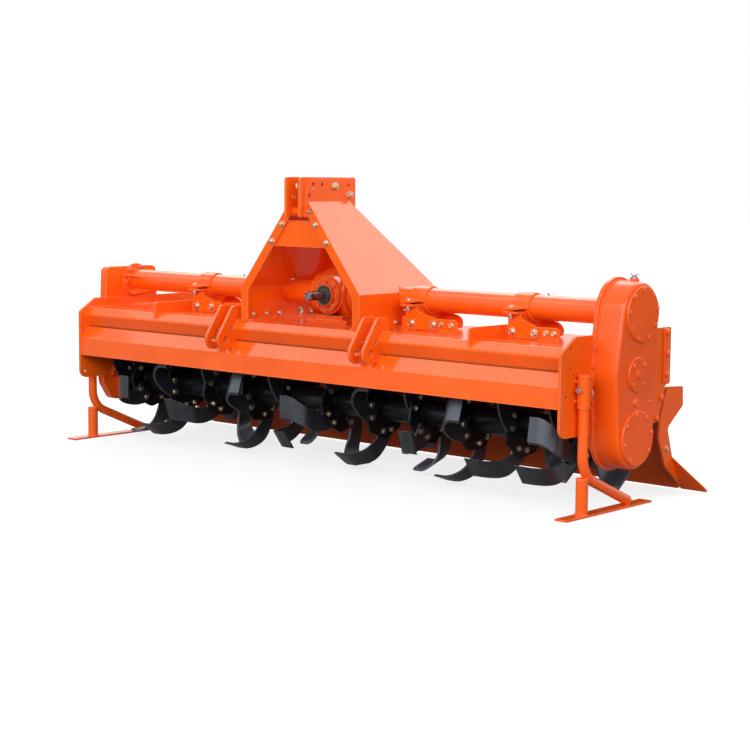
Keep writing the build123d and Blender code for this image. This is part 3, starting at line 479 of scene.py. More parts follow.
def plated_steel(name, colour, tint, rough, dirt):
    """Plated or bare steel: one metal colour drifting to a second tint, with dirt in patches."""
    material, nodes, shader, where = start_material(name)
    tone = nodes.mix(nodes.patches(where, 70, 3, 0.6, (0.4, 0.65)), colour, tint)
    grime = nodes.patches(where, 160, 4, 0.65, (0.5, 0.75), (0.0, dirt))
    nodes.link(nodes.mix(grime, tone, OILY_DIRT), shader["Base Color"])
    nodes.link(nodes.maths("SUBTRACT", 1.0, nodes.times(grime, 0.8)), shader["Metallic"])
    roughness = nodes.patches(where, 300, 2, 0.5, (0.3, 0.7), (rough - 0.06, rough + 0.10))
    nodes.link(roughness, shader["Roughness"])
    height = place_group(nodes, casting, where, Grain=900.0)["Height"]
    bump(nodes, shader, height, 0.0001, 0.3, 0.0006)
    return material


def greased_steel():
    """The machined shaft: turned rings under a film of dark grease."""
    material, nodes, shader, where = start_material("greased_steel")
    rings = nodes.add("ShaderNodeTexWave", wave_type="BANDS", bands_direction="Y")
    preset(rings.inputs, {"Scale": 260, "Distortion": 0.6})
    nodes.link(where, rings.inputs["Vector"])
    film = nodes.patches(where, 55, 4, 0.6, (0.42, 0.6))
    tone = nodes.mix(film, (0.34, 0.34, 0.35), (0.035, 0.03, 0.03))
    nodes.link(tone, shader["Base Color"])
    nodes.link(nodes.maths("SUBTRACT", 1.0, nodes.times(film, 0.6)), shader["Metallic"])
    nodes.link(nodes.between(film, (0, 1), (0.32, 0.22)), shader["Roughness"])
    bump(nodes, shader, rings.outputs["Fac"], 0.0001, 0.25, 0.0008)
    return material


def seal_rubber():
    """Black nitrile rubber, dull and slightly dusty."""
    material, nodes, shader, where = start_material("seal_rubber")
    grime = place_group(nodes, dust, where, Amount=0.4)["Dust"]
    tone = nodes.mix(grime, (0.045, 0.040, 0.038), (0.20, 0.16, 0.14))
    nodes.link(tone, shader["Base Color"])
    roughness = nodes.patches(where, 200, 2, 0.5, (0.3, 0.7), (0.45, 0.65))
    nodes.link(roughness, shader["Roughness"])
    bump(nodes, shader, nodes.noise(where, 700), 0.0001, 0.3, 0.0008)
    return material


ENAMEL = (0.96, 0.118, 0.004)
# the same orange as the sheet, drawn darker for the castings: painted shade
SHADED_CAST_ENAMEL = (0.88, 0.096, 0.004)
WELD_ENAMEL = (0.86, 0.10, 0.006)
# painted shadow: dark red-brown for the line under the beam's nose
SHADOW_LINE_RED = (0.15, 0.014, 0.003)
sheet_enamel = orange_enamel("sheet_enamel", ENAMEL, 1.0, 1.0, 0.35)
tube_enamel = orange_enamel("tube_enamel", ENAMEL, 0.8, 0.5, 0.25, rough=0.26, coat=0.85,
                            coat_rough=0.22)
cast_enamel = orange_enamel("cast_enamel", SHADED_CAST_ENAMEL, 1.0, 1.0, 0.2, cast=True, rough=0.34)
weld_enamel = orange_enamel("weld_enamel", WELD_ENAMEL, 1.6, 1.0, 0.0, rough=0.36)
painted_shadow_bead = orange_enamel("painted_shadow_bead", SHADOW_LINE_RED, 1.6, 1.0, 0.0, rough=0.5, coat=0.1)
# the last number of each black enamel is how strong its painted sky reflection is
rotor_enamel = black_enamel("rotor_enamel", (0.004, 0.004, 0.006), 0.30, 0.45, 0.2, 0.25, 0.04)
blade_enamel = black_enamel("blade_enamel", (0.0035, 0.004, 0.006), 0.34, 0.9, 0.6, 0.8, 0.42)
yellow_zinc = plated_steel("yellow_zinc", (0.74, 0.60, 0.36), (0.58, 0.50, 0.46), 0.30, 0.55)
clear_zinc = plated_steel("clear_zinc", (0.62, 0.63, 0.66), (0.46, 0.47, 0.50), 0.28, 0.45)
spring_steel = plated_steel("spring_steel", (0.16, 0.16, 0.17), (0.08, 0.08, 0.09), 0.34, 0.5)
shaft_steel = greased_steel()
rubber = seal_rubber()

ORANGE, BLACK, YELLOW, BRIGHT = "orange_paint", "black_paint", "yellow_zinc", "bright_steel"
FINISHED = (
    (tube_enamel, ("cross_tube_left", "cross_tube_right", "stand_left", "stand_right")),
    (cast_enamel, ("gearcase_housing", "gearcase_upper_cap", "gearcase_idler_cap",
                   "gearcase_lower_cap", "gearbox_housing", "gearbox_input_cap",
                   "gearbox_rear_cover", "rotor_bearing_left", "rotor_bearing_right")),
    (rotor_enamel, ("rotor_tube", "rotor_discs")),
    (blade_enamel, ("blades_left_hand", "blades_right_hand")),
    (shaft_steel, ("rotor_stubs", "input_shaft")),
    (yellow_zinc, ("mast_bolts",)),
    (clear_zinc, ("hinge_pins", "stand_lock_pins", "pressure_rod_left", "pressure_rod_right",
                  "gearcase_breather")),
    (spring_steel, ("pressure_spring_left", "pressure_spring_right")),
)
finishes = {name: finish for finish, names in FINISHED for name in names}
for name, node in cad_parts.items():
    finish = finishes.get(name, sheet_enamel)
    if not node.material_slots:
        node.data.materials.append(finish)
    for slot in node.material_slots:
        slot.material = finish

# ==================================================================================================
# fastener patterns, each standing on the origin along Z
# ==================================================================================================

WASHER = 2.4                # thickness of a flat washer


def hex_head(name, across, height, washer=0.0, thread=0.0):
    """A hexagon bolt head or nut, with a washer under it and a thread end where they are given."""
    parts = []
    base = 0.0
    if washer:
        ring = cylinder(name, washer, WASHER, 20)
        chamfer_top(ring, WASHER, 0.6)
        parts.append(ring)
        base = WASHER
    head = cylinder(name, across / sqrt(3), height, 6, base)
    chamfer_top(head, base + height, height * 0.16)
    parts.append(head)
    if thread:
        end = cylinder(name, across * 0.30, thread, 12, base + height)
        chamfer_top(end, base + height + thread, 1.0)
        parts.append(end)
    else:
        step_top(head, (across * 0.14, -0.6))
    piece = join(name, parts)
    smooth(piece, 30)
    return piece


def dome_head(name, radius, height):
    """A round head with a wide, soft crown."""
    piece = cylinder(name, radius, height, 20)
    chamfer_top(piece, height, min(radius, height) * 0.75, 4)
    smooth(piece, 50)
    return piece


def split_pin(name, length, thickness=3.0):
    """A split pin through a pin's end: an eye, and two legs bent apart."""
    bpy.ops.mesh.primitive_torus_add(
        major_segments=16, minor_segments=8, major_radius=mm(thickness * 1.5),
        minor_radius=mm(thickness / 2), location=(0, 0, mm(length / 2 + 5)),
        rotation=(pi / 2, 0, 0))
    eye = take_new(name)
    freeze(eye)
    shank = cylinder(name, thickness / 2, length, 8, -length / 2)
    parts = [eye, shank]
    for side in SIDES:
        leg = cylinder(name, thickness * 0.4, 9, 8, 0)
        bend = Matrix.Rotation(side * 2.2, 4, "Y")
        leg.data.transform(Matrix.Translation((0, 0, -mm(length / 2))) @ bend)
        parts.append(leg)
    piece = join(name, parts)
    smooth(piece, 50)
    return piece


m8_head = hex_head("m8_head", 13, 5.3)
m10_head = hex_head("m10_head", 16, 6.4, 10)
m12_head = hex_head("m12_head", 18, 7.5, 12, 4)
m12_washered = hex_head("m12_washered", 19, 7.5, 16)
m16_head = hex_head("m16_head", 24, 10, 15, 5)
pinch_head = hex_head("pinch_head", 17, 7)
pinch_nut = hex_head("pinch_nut", 17, 9, 0, 8)
blade_head = hex_head("blade_head", 20, 7)
blade_nut = hex_head("blade_nut", 20, 9, 0, 4)
plug = hex_head("plug", 22, 9, 15)
swivel_nut = hex_head("swivel_nut", 20, 6, 14)
crown = dome_head("crown", 12, 11)
small_dome = dome_head("small_dome", 5.5, 4)
pin_clip = split_pin("pin_clip", 22)


def ring_of(count, radius, centre, way, start=0.0):
    """Spots in a ring round a centre, in the plane that a direction stands on."""
    side = way.orthogonal().normalized() if abs(way.x) < 0.5 else Vector((0, 1, 0))
    up = way.cross(side)
    spots = []
    for k in range(count):
        angle = radians(start) + 2 * pi * k / count
        spots.append((centre + (side * cos(angle) + up * sin(angle)) * mm(radius), way))
    return spots


# ---- gearcase ----
IDLER_Y, IDLER_Z = -5.0, 472.0
PLUG_Y, PLUG_Z = -12.0, 376.0
TELL_TALE_Y, TELL_TALE_Z = 78.0, 372.0
FLANGE_X = HALF + 14        # face of the gearcase's flange
FLANGE_BOLTS = ((-128, 560), (-134, 500), (-134, 440), (-128, 380), (-120, 320), (-110, 600),
                (120, 560), (122, 500), (124, 440), (120, 380), (116, 320), (126, 610))
KNURLS = 32                 # sides of the filler cap, every other one sunk

cover_bolts = [
    *ring_of(9, 84, at(CASE_FACE, TUBE_Y, TUBE_Z), RIGHT, 12),
    *ring_of(8, 83, at(CASE_FACE, 0, ROTOR_Z), RIGHT, 10),
    *ring_of(4, 44, at(CASE_FACE, IDLER_Y, IDLER_Z), RIGHT, 45),
]
copies("gearcase_cover_bolts", m8_head, cover_bolts, "frame", cast_enamel)
plug_spot = [(at(CASE_SIDE, PLUG_Y, PLUG_Z), RIGHT)]
copies("gearcase_level_plug", plug, plug_spot, "frame", cast_enamel)
tell_tale_spot = [(at(CASE_SIDE, TELL_TALE_Y, TELL_TALE_Z), RIGHT)]
copies("gearcase_tell_tale", small_dome, tell_tale_spot, "frame", cast_enamel)
flange_bolts = [(at(FLANGE_X, y, z), RIGHT) for y, z in FLANGE_BOLTS]
copies("gearcase_flange_bolts", m8_head, flange_bolts, "frame", cast_enamel)


def knurl_at(point):
    """Which knurl of the filler cap a point lies in, counted round the Z axis."""
    turn = Vector((point.x, point.y)).angle_signed(Vector((1, 0)), 0.0) % (2 * pi)
    return int(turn / (2 * pi) * KNURLS)


def breather():
    """The vented filler: a hexagon, a neck and a crowned cap with a knurled rim."""
    low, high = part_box("gearcase_breather")
    top = (high.z - low.z) * 1000
    radius = (high.x - low.x) * 500
    hexagon = cylinder("filler", radius - 1.5, top * 0.42, 6)
    chamfer_top(hexagon, top * 0.42, 1.2)
    neck = cylinder("filler", radius * 0.55, top * 0.24, 20, top * 0.42)
    cap = cylinder("filler", radius, top * 0.34, KNURLS, top * 0.66)
    chamfer_top(cap, top, 3.0, 3)
    edit_faces(cap, lambda face: abs(face.normal.z) < 0.1 and knurl_at(face.center) % 2 == 0)
    bpy.ops.mesh.inset(thickness=mm(0.25), depth=-mm(0.8), use_individual=True)
    leave_edit()
    piece = join("gearcase_filler_cap", [hexagon, neck, cap])
    smooth(piece)
    middle = ((low.x + high.x) / 2, (low.y + high.y) / 2, low.z)
    piece.data.transform(Matrix.Translation(middle))
    dress(piece, "frame", clear_zinc)
    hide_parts("gearcase_breather")


breather()

# ---- mast ----
ARM_INSIDE, ARM_OUTSIDE = 302.0, 310.0
ARM_FRONT = -246.0
FOOT_ROW_Y = (-222.0, -183.0, -112.0, -42.0, 132.0, 196.0)
WASHERED_Y = 75.0
FOOT_ROW_Z = 588.0
LIP_BOLTS = ((87.0, 946.0), (142.0, 881.0))                             # x and z
CHEEK_BOLTS = ((-103.0, 1091.0), (-19.0, 1057.0), (-236.0, 995.0))      # y and z
HEAD_X = 49.0               # outside of the mast head's cheeks

foot_row = []
for side, inward, outward in ((-1, RIGHT, LEFT), (1, LEFT, RIGHT)):
    for y in FOOT_ROW_Y:
        foot_row.append((at(side * ARM_INSIDE, y, FOOT_ROW_Z), inward))
        foot_row.append((at(side * ARM_OUTSIDE, y, FOOT_ROW_Z), outward))
copies("mast_foot_bolts", m10_head, foot_row, "frame", yellow_zinc)
wide = [(at(side * ARM_INSIDE, WASHERED_Y, FOOT_ROW_Z + 2), sideways(-side)) for side in SIDES]
copies("mast_foot_washered_bolts", m12_washered, wide, "frame", yellow_zinc)
lip = [(at(side * x, ARM_FRONT, z), FORWARD) for side in SIDES for x, z in LIP_BOLTS]
copies("mast_lip_bolts", m12_head, lip, "frame", yellow_zinc)
cheeks = [(at(side * HEAD_X, y, z), sideways(side)) for side in SIDES for y, z in CHEEK_BOLTS]
copies("mast_cheek_nuts", m16_head, cheeks, "frame", yellow_zinc)

# ---- gearbox ----
CAP_FRONT = -92.0           # front of the input cap
REAR_COVER = TUBE_Y + 131
TUBE_FLANGE = 117.0         # outside of the flange that a cross tube stands on
SEAL_STANDOFF = 14.0

nose_bolts = ring_of(8, 55, at(0, CAP_FRONT, TUBE_Z), FORWARD)
copies("input_cap_bolts", m10_head, nose_bolts, "frame", cast_enamel)
rear_bolts = ring_of(6, 52, at(0, REAR_COVER, TUBE_Z), BACK, 30)
copies("rear_cover_bolts", m10_head, rear_bolts, "frame", cast_enamel)
tube_bolts = []
for side in SIDES:
    tube_bolts += ring_of(8, 62, at(side * TUBE_FLANGE, TUBE_Y, TUBE_Z), sideways(side), 22.5)
copies("gearbox_flange_bolts", m10_head, tube_bolts, "frame", cast_enamel)


def oil_seal():
    """The steel carrier and rubber lips round the input shaft."""
    carrier = cylinder("input_seal_carrier", 38, 5, 48)
    chamfer_top(carrier, 5, 1.2, 2)
    step_top(carrier, (7, -2.6))
    lips = cylinder("input_seal_lips", 30, 3.6, 48)
    chamfer_top(lips, 3.6, 0.8, 2)
    step_top(lips, (3, -1.0), (4, 1.6), (3, 1.0))
    for piece, slot, material in ((carrier, BRIGHT, spring_steel), (lips, BLACK, rubber)):
        smooth(piece)
        piece.data.transform(stood(at(0, CAP_FRONT - SEAL_STANDOFF, TUBE_Z), FORWARD))
        dress(piece, "frame", material)


oil_seal()

# ---- clamps on the cross tubes ----
# middle, which way the pad runs, shoe bolts, pad bolts and the pad's end, all from the middle
CLAMPS = (
    (-755.0, 1, (-10, 78), (), 132),
    (405.0, 1, (-2, 102), (134, 184), 209),
    (880.0, 1, (-12, 86), (132, 166), 187),
    (-405.0, -1, (-2, 102), (134, 184), 209),
)
SADDLE_FRONT, SADDLE_REAR, SADDLE_Z = -61.5, 95.5, 590.0
EAR_TOP, EAR_THICK = 675.0, 22.0
PINCH_OUT = 90.0            # from the tube's middle to a pinch bolt
PINCH_SIDE = -8.0
CAP_HALF = 37.0
PAD_BACK = -45.5
PAD_FRONT = PAD_BACK - 8
PAD_BOLT_Z = 592.0

saddle_bolts, pad_bolts, pinch_bolts, pinch_nuts = [], [], [], []
for middle, way, shoe_bolts, end_bolts, _ in CLAMPS:
    for offset in shoe_bolts:
        saddle_bolts.append((at(middle + way * offset, SADDLE_FRONT, SADDLE_Z), FORWARD))
        saddle_bolts.append((at(middle + way * offset, SADDLE_REAR, SADDLE_Z), BACK))
    for offset in end_bolts:
        pad_bolts.append((at(middle + way * offset, PAD_FRONT, PAD_BOLT_Z), FORWARD))
    for y in (TUBE_Y - PINCH_OUT, TUBE_Y + PINCH_OUT):
        pinch_bolts.append((at(middle + way * PINCH_SIDE, y, EAR_TOP), UP))
        pinch_nuts.append((at(middle + way * PINCH_SIDE, y, EAR_TOP - EAR_THICK), DOWN))
copies("clamp_saddle_bolts", m12_washered, saddle_bolts, "frame", yellow_zinc)
copies("clamp_pad_bolts", m10_head, pad_bolts, "frame", yellow_zinc)
copies("clamp_pinch_bolts", pinch_head, pinch_bolts, "frame", yellow_zinc)
copies("clamp_pinch_nuts", pinch_nut, pinch_nuts, "frame", clear_zinc)

# ---- end plates, arm and tailboard cheeks ----
EDGE_BOLTS = ((342, 588), (342, 512), (342, 438), (319, 355), (292, 282))       # y and z
STRIP_THICK, STRIP_WIDE = 7.0, 32.0
STRIP_Y, STRIP_LOW, STRIP_HIGH = 342.0, 406.0, 602.0
STRIP_END, STRIP_EDGE = 9.0, 1.2        # rounding of its ends and of its edges
CHEEK_BOLT_Y, CHEEK_BOLT_Z = 366.0, 166.0
HUB_BOLTS_LOW = 275.0       # the hub has bolts above this height only
ARM_BEARING = -HALF - 10


def rear_strips():
    """A flat bar down the rear edge of each end plate, under the upper bolts."""
    bars = []
    for side in SIDES:
        middle = at(side * (HALF + STRIP_THICK / 2), STRIP_Y, (STRIP_LOW + STRIP_HIGH) / 2)
        bpy.ops.mesh.primitive_cube_add(size=1, location=middle)
        piece = take_new("end_plate_rear_strips")
        piece.scale = (mm(STRIP_THICK), mm(STRIP_WIDE), mm(STRIP_HIGH - STRIP_LOW))
        freeze(piece)
        edit_edges(piece, lambda a, b: abs(a.x - b.x) > mm(1))
        bpy.ops.mesh.bevel(offset=mm(STRIP_END), segments=5, affect="EDGES")
        leave_edit()
        rounding = piece.modifiers.new("rounding", "BEVEL")
        rounding.width, rounding.segments = mm(STRIP_EDGE), 2
        rounding.limit_method, rounding.angle_limit = "ANGLE", radians(50)
        select_only(piece)
        bpy.ops.object.modifier_apply(modifier=rounding.name)
        bars.append(piece)
    piece = join("end_plate_rear_strips", bars)
    smooth(piece, 40)
    dress(piece, "frame", sheet_enamel)


rear_strips()
plate_domes = []
for side in SIDES:
    for y, z in EDGE_BOLTS:
        seat = STRIP_THICK if z > STRIP_LOW else 0
        plate_domes.append((at(side * (HALF + seat), y, z), sideways(side)))
copies("end_plate_crown_bolts", crown, plate_domes, "frame", sheet_enamel)
cheek_bolts = [(at(side * HALF, CHEEK_BOLT_Y, CHEEK_BOLT_Z), sideways(side)) for side in SIDES]
copies("tailboard_cheek_bolts", m10_head, cheek_bolts, "tailboard", yellow_zinc)
hub_bolts = []
for side in SIDES:
    hub_bolts += ring_of(8, 112, at(side * (INNER - 12), 0, ROTOR_Z), sideways(-side), 25)
hub_bolts = [spot for spot in hub_bolts if spot[0].z > mm(HUB_BOLTS_LOW)]
copies("bearing_flange_bolts", m12_head, hub_bolts, "frame", cast_enamel)
arm_bolts = ring_of(6, 58, at(-(HALF - 12), TUBE_Y, TUBE_Z), RIGHT, 10)
copies("side_arm_flange_bolts", m12_head, arm_bolts, "frame", cast_enamel)
arm_cover = ring_of(8, 70, at(ARM_BEARING, 0, ROTOR_Z), LEFT, 0)
copies("side_arm_bearing_bolts", m12_head, arm_cover, "frame", cast_enamel)


def bearing_cover():
    """The round cover over the left bearing, inside the arm's rim."""
    piece = cylinder("side_arm_bearing_cover", 58, 14, 48)
    chamfer_top(piece, 14, 4, 3)
    step_top(piece, (16, -4), (18, 6))
    smooth(piece)
    piece.data.transform(stood(at(ARM_BEARING, 0, ROTOR_Z), LEFT))
    dress(piece, "frame", cast_enamel)


bearing_cover()

# ---- rotor ----
DISC_PITCH, DISC_COUNT, DISC = 222.0, 11, 10.0
DISC_PLACES = [DISC_PITCH * (k - DISC_COUNT // 2) for k in range(DISC_COUNT)]
END_DISC_X = 1190.0
BLADE_SHEET = 9.0
HELIX_START, HELIX_STEP = 130.0, 54.0       # degrees, from disc to disc
HANDS_SWAPPED = (1, 8)      # discs whose left-hand and right-hand blades change places
END_PHASES = {-1: 74.0, 1: 122.0}
BOLT_OUT, BOLT_SIDE = 88.0, 24.0

blade_heads, blade_nuts = [], []


def bolt_blade(x, phase, side, disc_half):
    """The two bolts of a blade on one side of a disc: head on the blade, nut on the disc."""
    out = Vector((0, -sin(radians(phase)), cos(radians(phase))))
    across = Vector((0, cos(radians(phase)), sin(radians(phase))))
    for way in (-1, 1):
        reach = out * mm(BOLT_OUT) + across * mm(way * BOLT_SIDE)
        centre = at(x, 0, ROTOR_Z) + reach
        ahead = sideways(side)
        blade_heads.append((centre + ahead * mm(disc_half + BLADE_SHEET), ahead))
        blade_nuts.append((centre - ahead * mm(disc_half), -ahead))


for k, x in enumerate(DISC_PLACES):
    phase = HELIX_START + HELIX_STEP * min(k, DISC_COUNT - 2) + (90 if k in HANDS_SWAPPED else 0)
    for quarter in range(4):
        bolt_blade(x, phase + 90 * quarter, -1 if quarter % 2 else 1, DISC / 2)
for side, phase in END_PHASES.items():
    for turn in (0, 180):
        bolt_blade(side * END_DISC_X, phase + turn, -side, DISC)
copies("blade_bolt_heads", blade_head, blade_heads, "rotor", yellow_zinc)
copies("blade_bolt_nuts", blade_nut, blade_nuts, "rotor", yellow_zinc)

# ---- parking stands ----
STAND_X, STAND_Y, LOCK_Z = HALF + 28, -198.0, 430.0
LOCK_PIN_END = STAND_Y + 29


def linch_clip(name, side):
    """The sprung wire ring that holds a lock pin, hung on the pin's rear end."""
    bpy.ops.mesh.primitive_torus_add(
        major_segments=40, minor_segments=10, major_radius=mm(17), minor_radius=mm(1.7),
        rotation=(pi / 2, radians(20), 0))
    ring = take_new(name)
    freeze(ring)
    ring.data.transform(Matrix.Translation(at(side * STAND_X, LOCK_PIN_END, LOCK_Z - 18)))
    barb = cylinder(name, 3.4, 22, 14, -11)
    chamfer_top(barb, 11, 1.5, 2)
    barb.data.transform(Matrix.Translation(at(side * STAND_X, LOCK_PIN_END, LOCK_Z)))
    piece = join(name, [ring, barb])
    smooth(piece, 50)
    dress(piece, "frame", clear_zinc)


for side, label in SIDES.items():
    linch_clip(f"lock_pin_clip_{label}", side)

# ---- tailboard hinges, rods and springs ----
HINGE_Y, HINGE_Z = 372.0, 404.0
HINGE_STATIONS = (-1000.0, -500.0, 0.0, 500.0, 1000.0)
CLIP_REACH = 104.0          # from a hinge's middle to a split pin
clips = [(at(x + side * CLIP_REACH, HINGE_Y, HINGE_Z), UP)
         for x in HINGE_STATIONS for side in SIDES]
copies("hinge_split_pins", pin_clip, clips, "frame", clear_zinc)

ROD_X = 800.0
ROD_HEAD, ROD_EYE = (248.0, 664.0), (452.0, 306.0)      # y and z
TRUNNION_HALF = 33.0
rod_y, rod_z = ROD_EYE[0] - ROD_HEAD[0], ROD_EYE[1] - ROD_HEAD[1]
rod_length = sqrt(rod_y ** 2 + rod_z ** 2)
rod_way = Vector((0, rod_y / rod_length, rod_z / rod_length))
COIL_STEPS = 20             # places in one turn of a coil


def coil(name, side, start, length, mean_radius, thick, turns):
    """A round-wire compression spring on a pressure rod, with a closed turn at each end."""
    places = []
    pitch = (length - 3 * thick) / turns
    for k in range(int((turns + 2) * COIL_STEPS) + 1):
        turn = k / COIL_STEPS
        rise = thick / 2 + min(turn, 1) * thick
        rise += min(max(turn - 1, 0), turns) * pitch
        rise += max(turn - 1 - turns, 0) * thick
        angle = 2 * pi * turn
        places.append((mm(mean_radius) * cos(angle), mm(mean_radius) * sin(angle), mm(rise)))
    piece = wire(name, places, thick / 2, 3)
    piece.data.transform(stood(at(side * ROD_X, *ROD_HEAD) + rod_way * mm(start), rod_way))
    smooth(piece, 60)
    return piece


for side, label in SIDES.items():
    spring = coil(f"pressure_coil_{label}", side, 62, 96, 15.6, 6.0, 6)
    dress(spring, f"rod_{label}", spring_steel)
    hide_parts(f"pressure_spring_{label}")
    upper = coil(f"upper_coil_{label}", side, -41, 24, 20.5, 4.5, 2)
    dress(upper, f"rod_{label}", clear_zinc)

SWIVEL_PIECES = {"left": "swivel_washers", "right": "swivel_washers_right"}
for side, label in SIDES.items():
    ends = [(at(side * ROD_X + end * TRUNNION_HALF, *ROD_HEAD), sideways(end)) for end in (-1, 1)]
    copies(SWIVEL_PIECES[label], swivel_nut, ends, f"swivel_{label}", yellow_zinc)

# ==================================================================================================
# weld seams
# ==================================================================================================

RIPPLE = 4.5                # from one ripple of a bead to the next
RIPPLE_WAIST = 0.78


def weld(points, radius, closed=False):
    """A rippled weld bead along straight runs between the points."""
    places = []
    ends = points[1:] + points[:1] if closed else points[1:]
    for start, end in zip(points, ends):
        count = max(int((end - start).length * 1000 / RIPPLE), 1)
        places += [start.lerp(end, k / count) for k in range(count)]
    if not closed:
        places.append(points[-1])
    return wire("weld", places, radius, 1, closed, RIPPLE_WAIST)


def welds(name, runs, body, material=weld_enamel):
    """Several beads as one piece; a run is (points, radius, closed)."""
    piece = join(name, [weld(*run) for run in runs])
    smooth(piece, 60)
    dress(piece, body, material)


def circle_x(x, y, z, radius, count=48):
    """Points on a circle round the X direction."""
    angles = [radians(360 * k / count) for k in range(count)]
    return [at(x, y + radius * cos(angle), z + radius * sin(angle)) for angle in angles]


def circle_z(x, y, z, radius, count=32):
    """Points on a circle round the Z direction."""
    angles = [2 * pi * k / count for k in range(count)]
    return [at(x + radius * cos(angle), y + radius * sin(angle), z) for angle in angles]


# hitch lugs on the beam's nose and top
HITCH_SPAN, HITCH_GAP, HITCH_LUG = 755.0, 53.0, 12.0
LUG_INSIDE = HITCH_SPAN / 2 - HITCH_GAP / 2 - HITCH_LUG
LUG_OUTSIDE = HITCH_SPAN / 2 + HITCH_GAP / 2 + HITCH_LUG
BEAM_FOOT, BEAM_NOSE = (-243.0, 488.0), (-263.0, 535.0)     # y and z
BEAM_LINE = (BEAM_FOOT, BEAM_NOSE, (-240.0, 566.0), (-200.0, 566.0))
runs = []
for side in SIDES:
    for inside in (LUG_INSIDE, HITCH_SPAN / 2 + HITCH_GAP / 2):
        for x in (side * (inside - 1), side * (inside + HITCH_LUG + 1)):
            runs.append(([at(x, y, z) for y, z in BEAM_LINE], 3.4, False))
welds("hitch_lug_welds", runs, "frame")

# a dark red-brown bead in the corner between the beam's foot and the apron: painted shadow under
# the beam's nose, broken where the lugs stand
SEAM_Y, SEAM_Z = -245.0, 488.0
SEAM_BREAK = 2.0            # from a lug to the bead's end
spans = ((-INNER + 4, -LUG_OUTSIDE - SEAM_BREAK),
         (-LUG_INSIDE + SEAM_BREAK, LUG_INSIDE - SEAM_BREAK),
         (LUG_OUTSIDE + SEAM_BREAK, INNER - 4))
runs = [([at(x, SEAM_Y, SEAM_Z) for x in span], 3.4, False) for span in spans]
welds("apron_shadow_bead", runs, "frame", material=painted_shadow_bead)

# mast feet on the hood, clamp pads on the beam
runs = []
for side in SIDES:
    runs.append(([at(side * (ARM_OUTSIDE + 1), y, HOOD_Z + 1) for y in (-242, 218)], 3.2, False))
for middle, way, _, _, pad_end in CLAMPS:
    ends = sorted((middle - way * (CAP_HALF + 14), middle + way * (pad_end - 2)))
    for y in (PAD_FRONT - 1, PAD_BACK + 1):
        runs.append(([at(x, y, HOOD_Z + 1) for x in ends], 3.0, False))
welds("hood_welds", runs, "frame")

# tubes in their flanges, with the left end's gussets
GUSSET_TURNS = (70, 160, 200, 290)
runs = []
for side in SIDES:
    for x, bead in ((118, 3.4), (HALF - 13, 3.6)):
        runs.append((circle_x(side * x, TUBE_Y, TUBE_Z, TUBE_RADIUS + 1), bead, True))
for angle in GUSSET_TURNS:
    for edge in (-5, 5):
        turn = radians(angle)
        tip = Vector((0, sin(-turn), cos(turn))) * mm(TUBE_RADIUS)
        along = Vector((0, cos(turn), sin(turn))) * mm(edge)
        ends = (-HALF + 14, -HALF + 120)
        runs.append(([at(x, TUBE_Y, TUBE_Z) + tip + along for x in ends], 2.6, False))
welds("tube_welds", runs, "frame")

# rotor discs on the tube
runs = []
for x in DISC_PLACES:
    for side in SIDES:
        runs.append((circle_x(x + side * (DISC / 2 + 1), 0, ROTOR_Z, 51, 40), 3.4, True))
welds("rotor_disc_welds", runs, "rotor", rotor_enamel)

# stand posts on their feet, sockets on the end plates
for side, label in SIDES.items():
    foot = circle_z(side * STAND_X, STAND_Y, 8, 22)
    collar = circle_z(side * STAND_X, STAND_Y, 129, 19)
    runs = [(foot, 3.4, True), (collar, 2.6, True)]
    welds(f"stand_welds_{label}", runs, f"parking_stand_{label}")
runs = []
for side in SIDES:
    for z in (385, 395, 451, 461):
        runs.append(([at(side * (HALF + 1), STAND_Y + y, z) for y in (-15, 15)], 2.2, False))
welds("socket_welds", runs, "frame")

# end plates on the apron, beam and hood
APRON_LINE = ((-289, 366), (-283, 438), BEAM_FOOT)
ROOF_LINE = (BEAM_FOOT, BEAM_NOSE, (-240, 567), (230, 567), (355, 422))
runs = []
for side in SIDES:
    for line, bead in ((APRON_LINE, 3.0), (ROOF_LINE, 3.2)):
        runs.append(([at(side * (INNER - 1), y, z) for y, z in line], bead, False))
welds("end_plate_welds", runs, "frame")

remove(m8_head, m10_head, m12_head, m12_washered, m16_head, pinch_head, pinch_nut, blade_head,
       blade_nut, plug, swivel_nut, crown, small_dome, pin_clip)

# ==================================================================================================
# floor, light and camera
# ==================================================================================================

FLOOR_GREY = 0.24
FLOOR_NEAR, FLOOR_FAR = 1.6, 5.0        # metres over which the floor brightens
FLOOR_SHADE = 0.78                      # its glow near the object; further out it is 1
FLOOR_MIRRORED = 0.08                   # its glow in a reflection
WORLD_LIGHT = 0.38                      # what the surround lights with; it shows as 1


